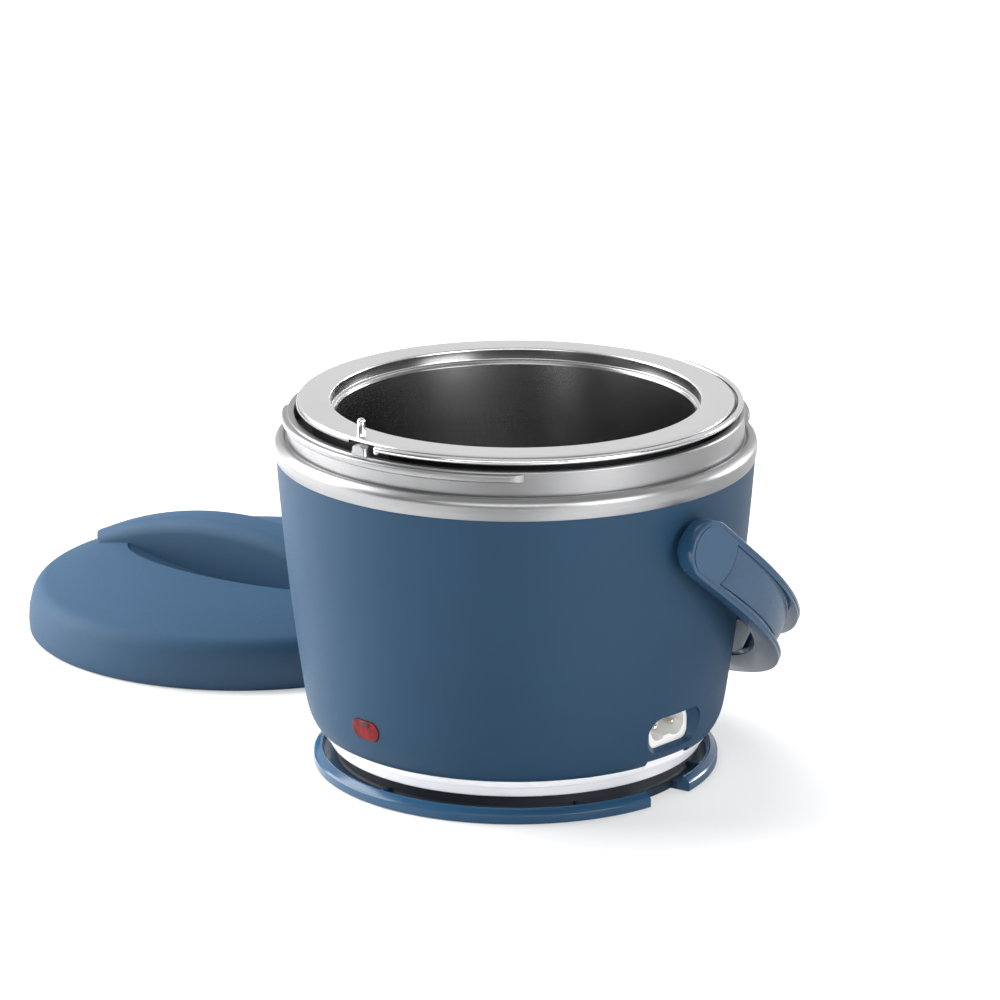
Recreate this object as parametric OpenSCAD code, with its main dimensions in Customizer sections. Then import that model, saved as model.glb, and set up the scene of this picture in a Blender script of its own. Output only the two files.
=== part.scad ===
// Electric lunch box. A heated base holds a lift-out food container. A carry handle
// swings from its sides and rests folded behind it, and its twist-on lid lies beside it.
// Millimetres, +Z up, front towards -Y, origin on the table at the centre of the base.

/* [Food container] */
// Radius of the container's mouth
mouth_r = 60.5; // [57:0.5:63]
// Width of the container's flat flange
flange_w = 11.2; // [10.6:0.2:13]
// Thickness of the container's steel sheet
sheet_t = 0.8; // [0.6:0.1:1.2]
// Depth of the container from its flange
bowl_depth = 76; // [66:1:80]
// Depth of the stacking ledge below the mouth
ledge_depth = 4; // [3:0.5:6]
// How far the ledge steps in
ledge_w = 1.8; // [1:0.2:3]
// Inward lean of the container's wall over its depth
bowl_lean = 4.6; // [3:0.2:8]
// Inside radius of the container's bottom corner
bowl_corner_r = 8; // [5:1:12]
// Depth of the rim that turns down at the flange's edge
rim_depth = 2; // [1.8:0.1:2.6]

/* [Container bail] */
// Radius of the bail's wire
wire_r = 1; // [0.8:0.1:1.2]
// Gap between the flange's rim and the folded bail
bail_rim_gap = 0.6; // [0.4:0.1:0.8]
// Height of the folded bail's wire above its pivots
bail_rise = 0.9; // [0:0.1:1.2]
// Sideways offset of the bail's pivot line from the centre
bail_offset = 8.8; // [7:0.2:12]
// Length of the rim's front notch to the left of the centre
notch_left = 5; // [1:0.5:8]
// Height of the pin that stands on the flange
pin_h = 6; // [4:0.5:8]
// Radius of that pin
pin_r = 1.3; // [1:0.1:1.6]

/* [Collar] */
// Gap between the flange's rim and the outside of the neck
neck_over_rim = 3.1; // [2.9:0.1:3.4]
// Thickness of the collar's neck
neck_t = 2.6; // [2.2:0.1:2.8]
// Height of the neck above the shoulder
neck_h = 7.9; // [7:0.1:9]
// Width of the shoulder from the neck to the shell's edge
shoulder_w = 3.6; // [3:0.2:5]
// Height of the shoulder
shoulder_h = 7.1; // [6:0.1:9]
// How far the shoulder bulges past the shell's top edge
shoulder_bulge = 0.6; // [0.2:0.1:1]
// How far the thread lugs stand out from the neck
lug_out = 1.6; // [1:0.1:1.6]
// Height of the thread lugs
lug_h = 2.8; // [2:0.1:3.4]
// Length of each thread lug, in degrees round the neck
lug_span = 98; // [70:1:110]

/* [Outer shell] */
// Height of the outer shell
shell_h = 91; // [84:1:100]
// Wall thickness of the outer shell
shell_t = 2.4; // [2:0.1:3]
// Lean of the side wall at its top, as radius lost for each unit of height
shell_lean = 0.068; // [0.05:0.002:0.08]
// Bow of the side wall, as radius lost for each unit of height squared
shell_bow = 0.0005; // [0.0002:0.0001:0.0006]
// Radius lost in the rounded foot of the shell
foot_round = 2.2; // [1.5:0.1:2.6]
// Height of the rounded foot
foot_round_h = 12; // [8:1:16]

/* [Base] */
// Radius of a rubber foot
foot_r = 5; // [4:0.5:7]
// Thickness of a rubber foot, set flush into the base
foot_t = 1.2; // [0.8:0.1:1.6]
// Height of the cord-wrap base up to the pan
wrap_h = 7.4; // [6.8:0.2:10]
// Width by which the cord-wrap flange stands past the pan
wrap_out = 5.5; // [4:0.5:7]
// Depth of the cord-wrap groove behind the flange's lip
wrap_groove = 5.3; // [4:0.1:6]
// Height of the flange's lip
lip_h = 4.8; // [3.6:0.2:5.2]
// Width of the cord's exit gap in the flange, in degrees
exit_gap = 15; // [10:1:20]
// Height of the white pan's visible band
pan_h = 6.6; // [5:0.2:9]
// Wall and floor thickness of the pan
pan_t = 2.4; // [1.8:0.2:3]
// Radius of the circle that the base screws stand on
screw_circle_r = 53; // [50:1:54]

/* [Power inlet and light] */
// Angle of the inlet behind the right side
inlet_turn = 2; // [0:1:6]
// Width of the inlet's window at the shell's surface
window_w = 25.8; // [24:0.2:27]
// Height of the inlet's window at the shell's surface
window_h = 12.6; // [12:0.1:13]
// Height of the window's centre above the shell's foot
window_up = 10.8; // [10.6:0.2:13]
// Width of the window where it meets the inlet's face
window_back_w = 19.4; // [18.4:0.2:21]
// Depth of the inlet's face behind the shell's surface
face_depth = 4; // [3:0.5:5]
// Radius of an inlet pin
inlet_pin_r = 1.18; // [1.1:0.02:1.3]
// Distance between the inlet's pins
inlet_pin_gap = 8.6; // [8:0.1:9]
// Depth of the inlet's socket
socket_depth = 9.4; // [8:0.2:11]
// Width of the power light
light_w = 12; // [9:0.5:15]
// Height of the power light
light_h = 7; // [5:0.5:8]
// Height of the power light above the shell's foot
light_up = 12.4; // [11:0.2:16]

/* [Handle] */
// Gap between the shoulder and the handle's arms
arm_gap = 1.3; // [0.8:0.1:2]
// Thickness of the arms at the pivots
arm_t = 6.1; // [5:0.1:8]
// Radius of the arms' round ends, half the handle's width there
arm_end_r = 9.6; // [8.5:0.1:10.4]
// Half the handle's width at the grip
grip_half_w = 8.1; // [7:0.1:10]
// Depth of the grip
grip_depth = 14.6; // [13:0.2:15]
// How far the handle reaches past the shell's top radius
reach_out = 32.6; // [32:0.2:38]
// Length of the straight stretch of each arm
arm_straight = 20; // [16:1:24]
// Distance of the pivots below the shell's top edge
pivot_drop = 15.3; // [14:0.1:18]
// Angle of the folded handle below the horizontal
fold_angle = 38.6; // [36:0.2:38.8]
// Thickness of the handle's walls
handle_wall = 2.3; // [1.8:0.1:2.6]
// Depth of the grip's outer channel at its middle
channel_depth = 10.5; // [8:0.5:11]
// Radius of the handle's pivot studs
stud_r = 5; // [4:0.2:6]

/* [Lid] */
// Height of the lid's skirt
skirt_h = 16.2; // [15.6:0.2:18]
// Height of the dome at the lid's centre
dome_h = 25.4; // [25:0.2:28]
// Height of the grip bar at the lid's centre
bar_h = 37.4; // [36:0.2:42]
// Height of the grip bar at its ends
bar_end_h = 23.4; // [23:0.2:26]
// Length of the grip bar
bar_l = 128; // [110:1:130]
// Width of the grip bar
bar_w = 20; // [16:0.5:24]
// Wall thickness of the lid
lid_t = 2; // [1.6:0.1:2.2]
// Depth of the finger scoops beside the bar
scoop_depth = 7.8; // [5:0.2:8]
// Length of the finger scoops
scoop_l = 90; // [70:1:100]
// Position of the lid to the left of the base
lid_left = 168.2; // [166:0.2:200]
// Position of the lid behind the base's centre
lid_back = 37.2; // [20:0.2:60]
// Turn of the lid on the table
lid_turn = 7; // [-20:1:40]

/* [Hidden] */
$fn = 96;

// Overlap that makes a cut run clear of a face
cut = 1;
// Gap between fixed neighbours, running gap of a pin, and gap between moving faces
fit_gap = 0.2;
run_gap = 0.06;
face_gap = 0.4;

// Radii from the mouth outwards
flange_r = mouth_r + flange_w;
neck_r = flange_r + neck_over_rim;
neck_in_r = neck_r - neck_t;
lug_r = neck_r + lug_out;
shell_top_r = neck_r + shoulder_w;
shoulder_r = shell_top_r + shoulder_bulge;

// Heights from the table upwards
pan_z = wrap_h;
shell_foot_z = pan_z + pan_h;
shell_top_z = shell_foot_z + shell_h;
neck_z = shell_top_z + shoulder_h;
neck_top_z = neck_z + neck_h;
trim_proud = 3.2;
trim_top_z = neck_top_z + trim_proud;
flange_z = trim_top_z + fit_gap + sheet_t;
pan_floor_z = pan_z + pan_t;

// Radius of the shell's outside at a height
function shell_r(z) =
    let (down = shell_top_z - z,
         foot = max(0, (shell_foot_z + foot_round_h - z) / foot_round_h))
    shell_top_r - shell_lean * down - shell_bow * down * down - foot_round * pow(foot, 3.5);
shell_steps = 18;
shell_levels = [for (i = [0 : shell_steps]) shell_foot_z + i * shell_h / shell_steps];
function reversed(list) = [for (i = [len(list) - 1 : -1 : 0]) list[i]];
// Points on an arc of radius r about [x, y], from angle a to angle b
function arc(x, y, r, a, b, steps = 8) =
    [for (i = [0 : steps]) [x + r * cos(a + (b - a) * i / steps),
                            y + r * sin(a + (b - a) * i / steps)]];
// Rounded rectangle about [x, y] with its own corner radii above and below
function rounded_box(x, y, w, h, above, below) =
    concat(arc(x + w / 2 - above, y + h / 2 - above, above, 0, 90),
           arc(x - w / 2 + above, y + h / 2 - above, above, 90, 180),
           arc(x - w / 2 + below, y - h / 2 + below, below, 180, 270),
           arc(x + w / 2 - below, y - h / 2 + below, below, 270, 360));

// Base ring, pan and screws
pan_r = shell_r(shell_foot_z) - 0.7;
pan_foot_r = pan_r - 3.5;
wrap_r = pan_foot_r + wrap_out;
wrap_floor_z = 2.6;
core_t = 2;
lip_in_r = wrap_r - 3.3;
core_r = lip_in_r - wrap_groove;
spigot_h = 3.6;
screw_r = 1.5;
screw_head_r = 3.1;
screw_head_h = 2;
screw_sink = 1.4;
base_screw_l = 22;
boss_r = 4.2;
boss_top_z = shell_foot_z + 20;
screw_angles = [45, 135, 225, 315];
foot_circle_r = core_r - core_t - foot_r - 1.5;
rib_angles = [0, 63, 117, 180, 243, 297];

// Inlet and light
window_z = shell_foot_z + window_up;
face_x = shell_r(window_z) - face_depth;
window_low_z = window_z - window_h / 2;
window_step = 1.2;
recess_wall = 1.6;
socket_z = window_z + 0.9;
socket_r = 4.1;
housing_lap = 0.9;
housing_flange_x = face_x - 5.6;
housing_back_x = face_x - socket_depth - 1.6;
housing_drop = 0.6;
pin_root = 0.3;
tab_half_w = 10;
light_z = shell_foot_z + light_up;
lens_flange = 1.6;
lens_t = 1.2;
lens_seat = 1.2;
lamp_r = 2.2;
lamp_y = pan_r - 3.8 - fit_gap - 2 * lamp_r;
lead_r = 1.1;
lead_bend = 3;
lead_z = light_z - 0.5;

// Trim ring, well and container walls
trim_in_r = mouth_r + sheet_t + 1.8;
trim_out_r = trim_in_r + 3.4;
trim_base_t = 2;
collar_spigot_h = 6;
trim_step_r = mouth_r + 0.8;
shelf_in_r = trim_out_r;
ledge_z = flange_z - ledge_depth;
wall_top_r = mouth_r - ledge_w;
wall_top_z = ledge_z - 1.3;
bowl_floor_z = flange_z - bowl_depth;
wall_foot_r = wall_top_r - bowl_lean;
well_gap = 0.9;
well_t = 1;
well_lip_z = neck_z + trim_base_t;
function bowl_wall_r(z) =
    wall_foot_r + (wall_top_r - wall_foot_r) * (z - bowl_floor_z) / (wall_top_z - bowl_floor_z);
function well_r(z) = bowl_wall_r(z) + sheet_t + well_gap;
well_floor_z = bowl_floor_z - sheet_t - 0.5;
well_under_z = well_floor_z - well_t;
band_t = 1.6;
band_low_z = bowl_floor_z + bowl_corner_r + 6;
band_h = 24;
band_high_z = band_low_z + band_h;

// Bail
bail_r = flange_r + bail_rim_gap + wire_r;
bail_z = neck_top_z + wire_r + 0.9;
bail_end_y = sqrt(bail_r * bail_r - bail_offset * bail_offset);
ear_t = 1.8;
ear_w = 4.6;
ear_in_y = trim_out_r + 1.2;
ear_bore_r = wire_r + run_gap;
pin_x = -2.2;
pin_y = -(flange_r - 3.1);
post_x = 2.6;
post_r = 3.3;

// Handle
pivot_z = shell_top_z - pivot_drop;
arm_in_x = shoulder_r + arm_gap;
arm_out_x = arm_in_x + arm_t;
reach = shell_top_r + reach_out;
grip_in = reach - grip_depth;
web_out = reach - channel_depth;
web_step = 0.8;
recess_r = 13.5;
hub_r = 8.6;
hub_face_x = arm_in_x - face_gap;
hub_back_x = shell_r(pivot_z) - shell_t - 2.8;
stud_end_x = hub_back_x - 0.3;
retainer_t = 1.5;
retainer_r = stud_r + 2.6;
handle_screw_r = 1.4;
handle_screw_l = 9;
rib_t = 1.6;
cover_t = 2.4;
cover_arm_t = 0.7;
arch_steps = 36;

// Lid
lid_seat_gap = 0.2;
lid_r = lug_r + 2.1;
skirt_in_r = lug_r + 0.4;
lid_shoulder_r = lid_r - 2.5;
dome_edge_z = skirt_h + 1.4;
dome_edge_r = lid_shoulder_r - 1.2;
dome_power = 5.5;
bar_round = 5;
bar_soft = 3.6;
wheel_r = 18;
wheel_reach = (scoop_l * scoop_l / 4 + scoop_depth * scoop_depth) / (2 * scoop_depth);
wheel_y = bar_w / 2 + 6.5;
gasket_in_r = mouth_r + 1.2;
gasket_out_r = mouth_r + 4.6;
gasket_z = flange_z - neck_z - lid_seat_gap;
lid_lug_r = neck_r + 1;
lid_lug_top_z = neck_h - 0.7 - lug_h - 2 * lid_seat_gap;
gasket_h = 1.8;
liner_z = dome_h - scoop_depth - lid_t - 1.7;
liner_t = 1;
function dome_z(r) =
    dome_h - (dome_h - dome_edge_z) * pow(r / dome_edge_r, dome_power);

// ---------- outer shell ----------

module shell_section() {
    polygon(concat([for (z = shell_levels) [shell_r(z), z]],
                   reversed([for (z = shell_levels) [shell_r(z) - shell_t, z]])));
}

// Solid of revolution that fills the shell out to a distance inside its surface
module shell_filling(inset) {
    rotate_extrude()
        polygon(concat([[0, shell_foot_z]],
                       [for (z = shell_levels) [shell_r(z) - inset, z]],
                       [[0, shell_top_z]]));
}

module at_screws() {
    for (a = screw_angles)
        rotate(a)
            translate([screw_circle_r, 0, 0])
                children();
}

module along_x(x0, x1, r) {
    translate([x0, 0, 0])
        rotate([0, 90, 0])
            cylinder(h = x1 - x0, r = r);
}

module screw_bosses() {
    intersection() {
        at_screws() {
            translate([0, 0, pan_floor_z + fit_gap])
                cylinder(h = boss_top_z - pan_floor_z - fit_gap, r = boss_r);
            translate([0, -1.2, shell_foot_z + spigot_h + 1])
                cube([shell_top_r - screw_circle_r, 2.4, boss_top_z - shell_foot_z - spigot_h - 1]);
        }
        union() {
            shell_filling(1);
            cylinder(h = boss_top_z, r = pan_foot_r - 2);
        }
    }
}

module stadium_y(w, h, y0, y1) {
    for (s = [-1, 1])
        translate([s * (w - h) / 2, y1, 0])
            rotate([90, 0, 0])
                cylinder(h = y1 - y0, r = h / 2);
    translate([-(w - h) / 2, y0, -h / 2])
        cube([w - h, y1 - y0, h]);
}

// Rounded block along X whose outline is the inlet's window, grown by a margin
module window_block(x0, x1, grow) {
    translate([x0, 0, 0])
        rotate([90, 0, 90])
            linear_extrude(x1 - x0)
                polygon(rounded_box(0, window_z, window_w + 2 * grow, window_h + 2 * grow,
                                    5.6 + grow, 4 + grow));
}

// Rounded block along X with the outline of the inlet's housing, grown by a margin
module housing_block(x0, x1, grow) {
    block_low_z = window_low_z + window_step - housing_lap;
    block_high_z = window_z + window_h / 2 - 0.4;
    translate([x0, 0, 0])
        rotate([90, 0, 90])
            linear_extrude(x1 - x0)
                polygon(rounded_box(0, (block_low_z + block_high_z) / 2,
                                    window_back_w + 2 * housing_lap + 2 * grow,
                                    block_high_z - block_low_z + 2 * grow, 2.4 + grow, 3 + grow));
}

// Space in front of the inlet's face, with sloping sides and a sloping sill
module recess_space() {
    mouth_x = sqrt(pow(shell_r(window_z), 2) - window_w * window_w / 4);
    far_x = shell_top_r;
    high_z = window_z + window_h;
    intersection() {
        window_block(face_x - cut, far_x, 0);
        linear_extrude(high_z)
            polygon([[face_x - cut, -window_back_w / 2], [face_x + 0.4, -window_back_w / 2],
                     [mouth_x, -window_w / 2], [far_x, -window_w / 2],
                     [far_x, window_w / 2], [mouth_x, window_w / 2],
                     [face_x + 0.4, window_back_w / 2], [face_x - cut, window_back_w / 2]]);
        translate([0, window_w, 0])
            rotate([90, 0, 0])
                linear_extrude(2 * window_w)
                    polygon([[face_x - cut, window_low_z + window_step],
                             [face_x + 0.4, window_low_z + window_step],
                             [mouth_x, window_low_z], [far_x, window_low_z],
                             [far_x, high_z], [face_x - cut, high_z]]);
    }
}

module pan_tab_space(extra) {
    translate([pan_r - 6, -tab_half_w - extra, shell_foot_z - cut])
        cube([12, 2 * (tab_half_w + extra), cut + 1.6 + extra]);
}

module outer_shell() {
    color("steelblue")
    difference() {
        union() {
            rotate_extrude()
                shell_section();
            screw_bosses();
            // Wall round the inlet's recess
            rotate(inlet_turn)
                intersection() {
                    window_block(face_x + fit_gap, shell_top_r, recess_wall);
                    shell_filling(1);
                }
            for (s = [0, 180])
                rotate(s)
                    translate([0, 0, pivot_z])
                        along_x(hub_back_x, hub_face_x, hub_r);
        }
        translate([0, 0, pivot_z])
            along_x(-arm_in_x, arm_in_x, stud_r + run_gap);
        rotate(inlet_turn) {
            recess_space();
            housing_block(housing_back_x, face_x + fit_gap, fit_gap);
            pan_tab_space(0.4);
        }
        translate([0, 0, light_z])
            stadium_y(light_w, light_h, -shoulder_r, -shell_r(light_z) + 8);
        at_screws()
            translate([0, 0, pan_floor_z])
                cylinder(h = 18, r = screw_r + 0.05);
    }
}

// ---------- collar ----------

module collar_section() {
    spigot_r = shell_r(shell_top_z) - shell_t - fit_gap * 3;
    polygon([[spigot_r - 2.2, shell_top_z - collar_spigot_h],
             [spigot_r, shell_top_z - collar_spigot_h],
             [spigot_r + 0.2, shell_top_z],
             [shell_top_r + 0.1, shell_top_z],
             [shell_top_r + 0.8 * shoulder_bulge, shell_top_z + 1.6],
             [shoulder_r, shell_top_z + 3.4],
             [shoulder_r - 0.1, neck_z - 2.2],
             [shoulder_r - 0.6, neck_z - 0.9],
             [shoulder_r - 1.4, neck_z - 0.2],
             [shoulder_r - 2.2, neck_z],
             [neck_r + 1, neck_z - 0.1],
             [neck_r + 0.6, neck_z - 0.7],
             [neck_r, neck_z - 0.7],
             [neck_r, neck_top_z - 0.6],
             [neck_r - 0.6, neck_top_z],
             [neck_in_r + 0.4, neck_top_z],
             [neck_in_r, neck_top_z - 0.4],
             [neck_in_r, neck_z],
             [shelf_in_r, neck_z],
             [shelf_in_r, neck_z - 2],
             [spigot_r - 2.2, neck_z - 2]]);
}

module thread_lug() {
    top_z = neck_top_z - 0.7;
    rotate_extrude(angle = lug_span)
        polygon([[neck_r - 1, top_z - lug_h],
                 [neck_r, top_z - lug_h],
                 [lug_r - 0.3, top_z - lug_h + 0.6],
                 [lug_r, top_z - lug_h + 1],
                 [lug_r, top_z - 0.6],
                 [lug_r - 0.5, top_z],
                 [neck_r - 1, top_z]]);
}

module collar() {
    color("silver") {
        rotate_extrude()
            collar_section();
        // Each lug's far end stands 46 degrees to the right of the front, or opposite it
        for (s = [0, 180])
            rotate(s - 90 + 46 - lug_span)
                difference() {
                    thread_lug();
                    // Slanted lead-in under the lug's far end
                    rotate(lug_span)
                        translate([neck_r, 0.5, neck_top_z - 0.7 - lug_h])
                            rotate([-28, 0, 0])
                                translate([0.02, -9, -6])
                                    cube([4, 12, 6]);
                }
    }
}

// Post that stands on the neck under the notch in the container's rim
module neck_post() {
    color("silver")
    intersection() {
        translate([post_x, -(neck_r - neck_t / 2), neck_top_z])
            cylinder(h = trim_proud - fit_gap, r1 = post_r, r2 = post_r - 0.8);
        cylinder(h = trim_top_z, r = neck_r + 0.3);
    }
}

// ---------- trim, well and heater ----------

module well_trim() {
    color("dimgray")
    rotate_extrude()
        polygon([[trim_step_r, neck_z],
                 [neck_in_r - fit_gap, neck_z],
                 [neck_in_r - fit_gap, neck_z + trim_base_t],
                 [trim_out_r, neck_z + trim_base_t],
                 [trim_out_r, trim_top_z - 0.5],
                 [trim_out_r - 0.5, trim_top_z],
                 [trim_in_r + 0.5, trim_top_z],
                 [trim_in_r, trim_top_z - 0.5],
                 [trim_in_r, neck_z + trim_base_t],
                 [trim_step_r, neck_z + trim_base_t]]);
}

module heating_well() {
    well_corner_r = bowl_corner_r + 0.6;
    corner_x = well_r(well_floor_z + well_corner_r) - well_corner_r;
    corner_z = well_floor_z + well_corner_r;
    color("lightgray")
    rotate_extrude()
        polygon(concat([[0, well_floor_z]],
                       arc(corner_x, corner_z, well_corner_r, -90, 0),
                       [[well_r(well_lip_z), well_lip_z + 0.9],
                        [trim_in_r - fit_gap, well_lip_z + 0.9],
                        [trim_in_r - fit_gap, well_lip_z],
                        [well_r(well_lip_z) + well_t, well_lip_z]],
                       arc(corner_x, corner_z, well_corner_r + well_t, 0, -90),
                       [[0, well_under_z]]));
}

module heating_band() {
    ear_x = well_r(band_high_z) + well_t;
    color("sienna")
    difference() {
        union() {
            rotate_extrude()
                polygon([[well_r(band_low_z) + well_t + fit_gap, band_low_z],
                         [well_r(band_low_z) + well_t + band_t, band_low_z],
                         [well_r(band_high_z) + well_t + band_t, band_high_z],
                         [well_r(band_high_z) + well_t + fit_gap, band_high_z]]);
            // Clamp ears, bent outwards on both sides of the split
            rotate(90)
                translate([ear_x, -5.6, band_low_z + 7])
                    cube([7, 11.2, 10]);
        }
        rotate(90)
            translate([ear_x - 6, -4, band_low_z - cut])
                cube([20, 8, band_h + 2 * cut]);
        translate([0, ear_x + 4, band_low_z + 12])
            along_x(-10, 10, screw_r + 0.1);
    }
}

module band_screw() {
    ear_x = well_r(band_high_z) + well_t;
    color("silver")
    translate([0, ear_x + 4, band_low_z + 12]) {
        along_x(-6.2, 9, screw_r);
        along_x(5.6, 8, 2.8);
        along_x(-7.8, -5.6, 2.6);
    }
}

module insulation_wrap() {
    wrap_low_z = band_low_z - 6;
    wrap_high_z = neck_z - 2 - 0.3;
    inner_r = well_r(neck_z) + well_t + 0.5;
    color("wheat")
    difference() {
        translate([0, 0, wrap_low_z])
            cylinder(h = wrap_high_z - wrap_low_z, r = inner_r + 4);
        translate([0, 0, wrap_low_z - cut])
            cylinder(h = wrap_high_z - wrap_low_z + 2 * cut, r = inner_r);
        // The clamp ears pass through a cut in the wrap
        translate([-11, inner_r - 4, wrap_low_z - cut])
            cube([22, 14, band_h + 8]);
    }
}

module thermostat() {
    can_h = 8;
    translate([0, 18, well_under_z - can_h]) {
        color("tan")
            cylinder(h = can_h, r = 7);
        color("silver")
            translate([0, 0, can_h - 1.6])
                cylinder(h = 1.5, r = 8.5);
        color("silver")
            for (s = [-1, 1])
                translate([s * 4 - 3, -0.4, -5])
                    cube([6.3, 0.8, 5.2]);
    }
}

module thermal_fuse() {
    color("gainsboro") {
        translate([0, -18, well_under_z - 2.3])
            along_x(-7, 7, 2.2);
        // Strap that clips the fuse against the well
        translate([-2, -22, well_under_z - 5.2])
            difference() {
                cube([4, 8, 5.1]);
                translate([-cut, 1, 1])
                    cube([6, 6, 8]);
            }
    }
}

// ---------- pan and cord-wrap base ----------

module base_pan() {
    spigot_r = shell_r(shell_foot_z) - shell_t - 0.4;
    color("whitesmoke")
    difference() {
        union() {
            rotate_extrude()
                polygon([[0, pan_z],
                         [pan_foot_r - 0.4, pan_z],
                         [pan_foot_r, pan_z + 0.4],
                         [pan_r - 1.6, pan_z + 0.58 * pan_h],
                         [pan_r - 0.8, pan_z + 0.6 * pan_h],
                         [pan_r - 0.1, shell_foot_z - 0.3],
                         [pan_r - 0.3, shell_foot_z],
                         [spigot_r, shell_foot_z],
                         [spigot_r, shell_foot_z + spigot_h],
                         [spigot_r - 1.9, shell_foot_z + spigot_h],
                         [spigot_r - 1.9, pan_floor_z],
                         [0, pan_floor_z]]);
            rotate(inlet_turn) {
                intersection() {
                    pan_tab_space(0);
                    rotate_extrude()
                        polygon([[spigot_r - 1, shell_foot_z - cut],
                                 [pan_r - 0.2, shell_foot_z - cut],
                                 [pan_r + 0.1, shell_foot_z + 4],
                                 [spigot_r - 1, shell_foot_z + 4]]);
                }
                // Pedestal that carries the inlet's housing
                translate([housing_back_x, -9, pan_floor_z - 0.5])
                    cube([face_x - housing_back_x - 6, 18,
                          window_low_z - housing_drop - pan_floor_z + 0.5]);
            }
        }
        at_screws()
            translate([0, 0, pan_z - cut])
                cylinder(h = pan_t + 2 * cut, r = screw_r + 0.3);
    }
}

module cord_wrap_base() {
    color("steelblue")
    difference() {
        union() {
            rotate_extrude()
                polygon([[0, 0],
                         [wrap_r - 0.5, 0],
                         [wrap_r, 0.5],
                         [wrap_r, lip_h - 1.9],
                         [wrap_r - 0.4, lip_h - 1.4],
                         [lip_in_r + 1, lip_h],
                         [lip_in_r + 0.5, lip_h],
                         [lip_in_r + 0.1, lip_h - 0.5],
                         [lip_in_r, wrap_floor_z],
                         [core_r + 1, wrap_floor_z],
                         [core_r + 0.4, wrap_floor_z + 0.6],
                         [core_r, pan_z - fit_gap],
                         [core_r - core_t, pan_z - fit_gap],
                         [core_r - core_t, wrap_floor_z - 0.2],
                         [0, wrap_floor_z - 0.2]]);
            at_screws()
                cylinder(h = wrap_h, r = boss_r);
            // Ribs across the cord groove
            for (a = rib_angles)
                rotate(a - 90)
                    translate([core_r - 0.5, -0.7, wrap_floor_z - 0.5])
                        cube([lip_in_r - core_r + 1, 1.4, 1.9]);
        }
        // Exit gap for the cord, below the inlet
        rotate(inlet_turn - exit_gap / 2)
            rotate_extrude(angle = exit_gap)
                translate([core_r + 1.4, -cut])
                    square([wrap_r, wrap_h + cut]);
        at_screws() {
            translate([0, 0, -cut])
                cylinder(h = cut + screw_sink + screw_head_h, r = screw_head_r + 0.3);
            cylinder(h = pan_z + cut, r = screw_r + 0.3);
        }
        at_feet()
            translate([0, 0, -cut])
                cylinder(h = cut + foot_t, r = foot_r + 0.1);
    }
}

module at_feet() {
    for (a = [0 : 90 : 270])
        rotate(a)
            translate([foot_circle_r, 0, 0])
                children();
}

module rubber_feet() {
    color("black")
        at_feet()
            cylinder(h = foot_t, r = foot_r);
}

module base_screws() {
    color("silver")
        at_screws()
            translate([0, 0, screw_sink]) {
                difference() {
                    cylinder(h = screw_head_h, r = screw_head_r);
                    for (a = [0, 90])
                        rotate(a)
                            translate([-2, -0.4, -cut])
                                cube([4, 0.8, cut + 1]);
                }
                cylinder(h = base_screw_l, r = screw_r);
            }
}

// ---------- inlet, light and wiring ----------

module inlet_housing() {
    color("white")
    rotate(inlet_turn)
        difference() {
            union() {
                housing_block(housing_back_x, face_x, 0);
                translate([housing_flange_x - 2, -window_w / 2 - 1, window_low_z - housing_drop])
                    cube([2, window_w + 2, window_h + housing_drop + 1.6]);
            }
            translate([0, 0, socket_z]) {
                for (s = [-1, 1])
                    translate([0, s * (inlet_pin_gap / 2 - 0.2), 0])
                        along_x(face_x - socket_depth, face_x + cut, socket_r);
                translate([face_x - socket_depth, -inlet_pin_gap / 2, -3.1])
                    cube([socket_depth + cut, inlet_pin_gap, 6.2]);
                for (s = [-1, 1])
                    translate([0, s * inlet_pin_gap / 2, 0])
                        along_x(housing_back_x - cut, face_x - socket_depth + cut,
                                inlet_pin_r + pin_root + 0.02);
            }
        }
}

module inlet_pins() {
    tip_x = face_x - 0.8;
    color("silver")
    rotate(inlet_turn)
        for (s = [-1, 1])
            translate([0, s * inlet_pin_gap / 2, socket_z]) {
                along_x(housing_back_x - 1, face_x - socket_depth, inlet_pin_r + pin_root);
                along_x(face_x - socket_depth, tip_x - inlet_pin_r, inlet_pin_r);
                translate([tip_x - inlet_pin_r, 0, 0])
                    sphere(r = inlet_pin_r);
                // Solder tab behind the housing
                translate([housing_back_x - 6, -0.4, -2.3])
                    cube([5.5, 0.8, 4.6]);
            }
}

module power_light_lens() {
    color("red")
    intersection() {
        translate([0, 0, light_z]) {
            stadium_y(light_w - 0.3, light_h - 0.3, -shoulder_r,
                      -shell_r(light_z) + shell_t + lens_seat + lens_t);
            stadium_y(light_w + 2 * lens_flange, light_h + 2 * lens_flange,
                      -shell_r(light_z) + shell_t + lens_seat,
                      -shell_r(light_z) + shell_t + lens_seat + lens_t);
        }
        shell_filling(-0.4);
    }
}

module lamp_bracket() {
    color("dimgray")
    difference() {
        translate([-6, -lamp_y - lamp_r, pan_floor_z])
            cube([12, 2 * lamp_r + 1.6, light_z + lamp_r - 0.4 - pan_floor_z]);
        translate([0, -lamp_y, light_z])
            along_x(-6 - cut, 6 + cut, lamp_r + 0.1);
        translate([-6 - cut, -lamp_y - 2 * lamp_r, light_z - lamp_r - 0.1])
            cube([12 + 2 * cut, 2 * lamp_r, 2 * lamp_r + 2]);
    }
}

module indicator_lamp() {
    color("orange")
    translate([0, -lamp_y, light_z]) {
        along_x(-5, 3.5, lamp_r);
        translate([3.5, 0, 0])
            sphere(r = lamp_r);
    }
}

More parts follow.
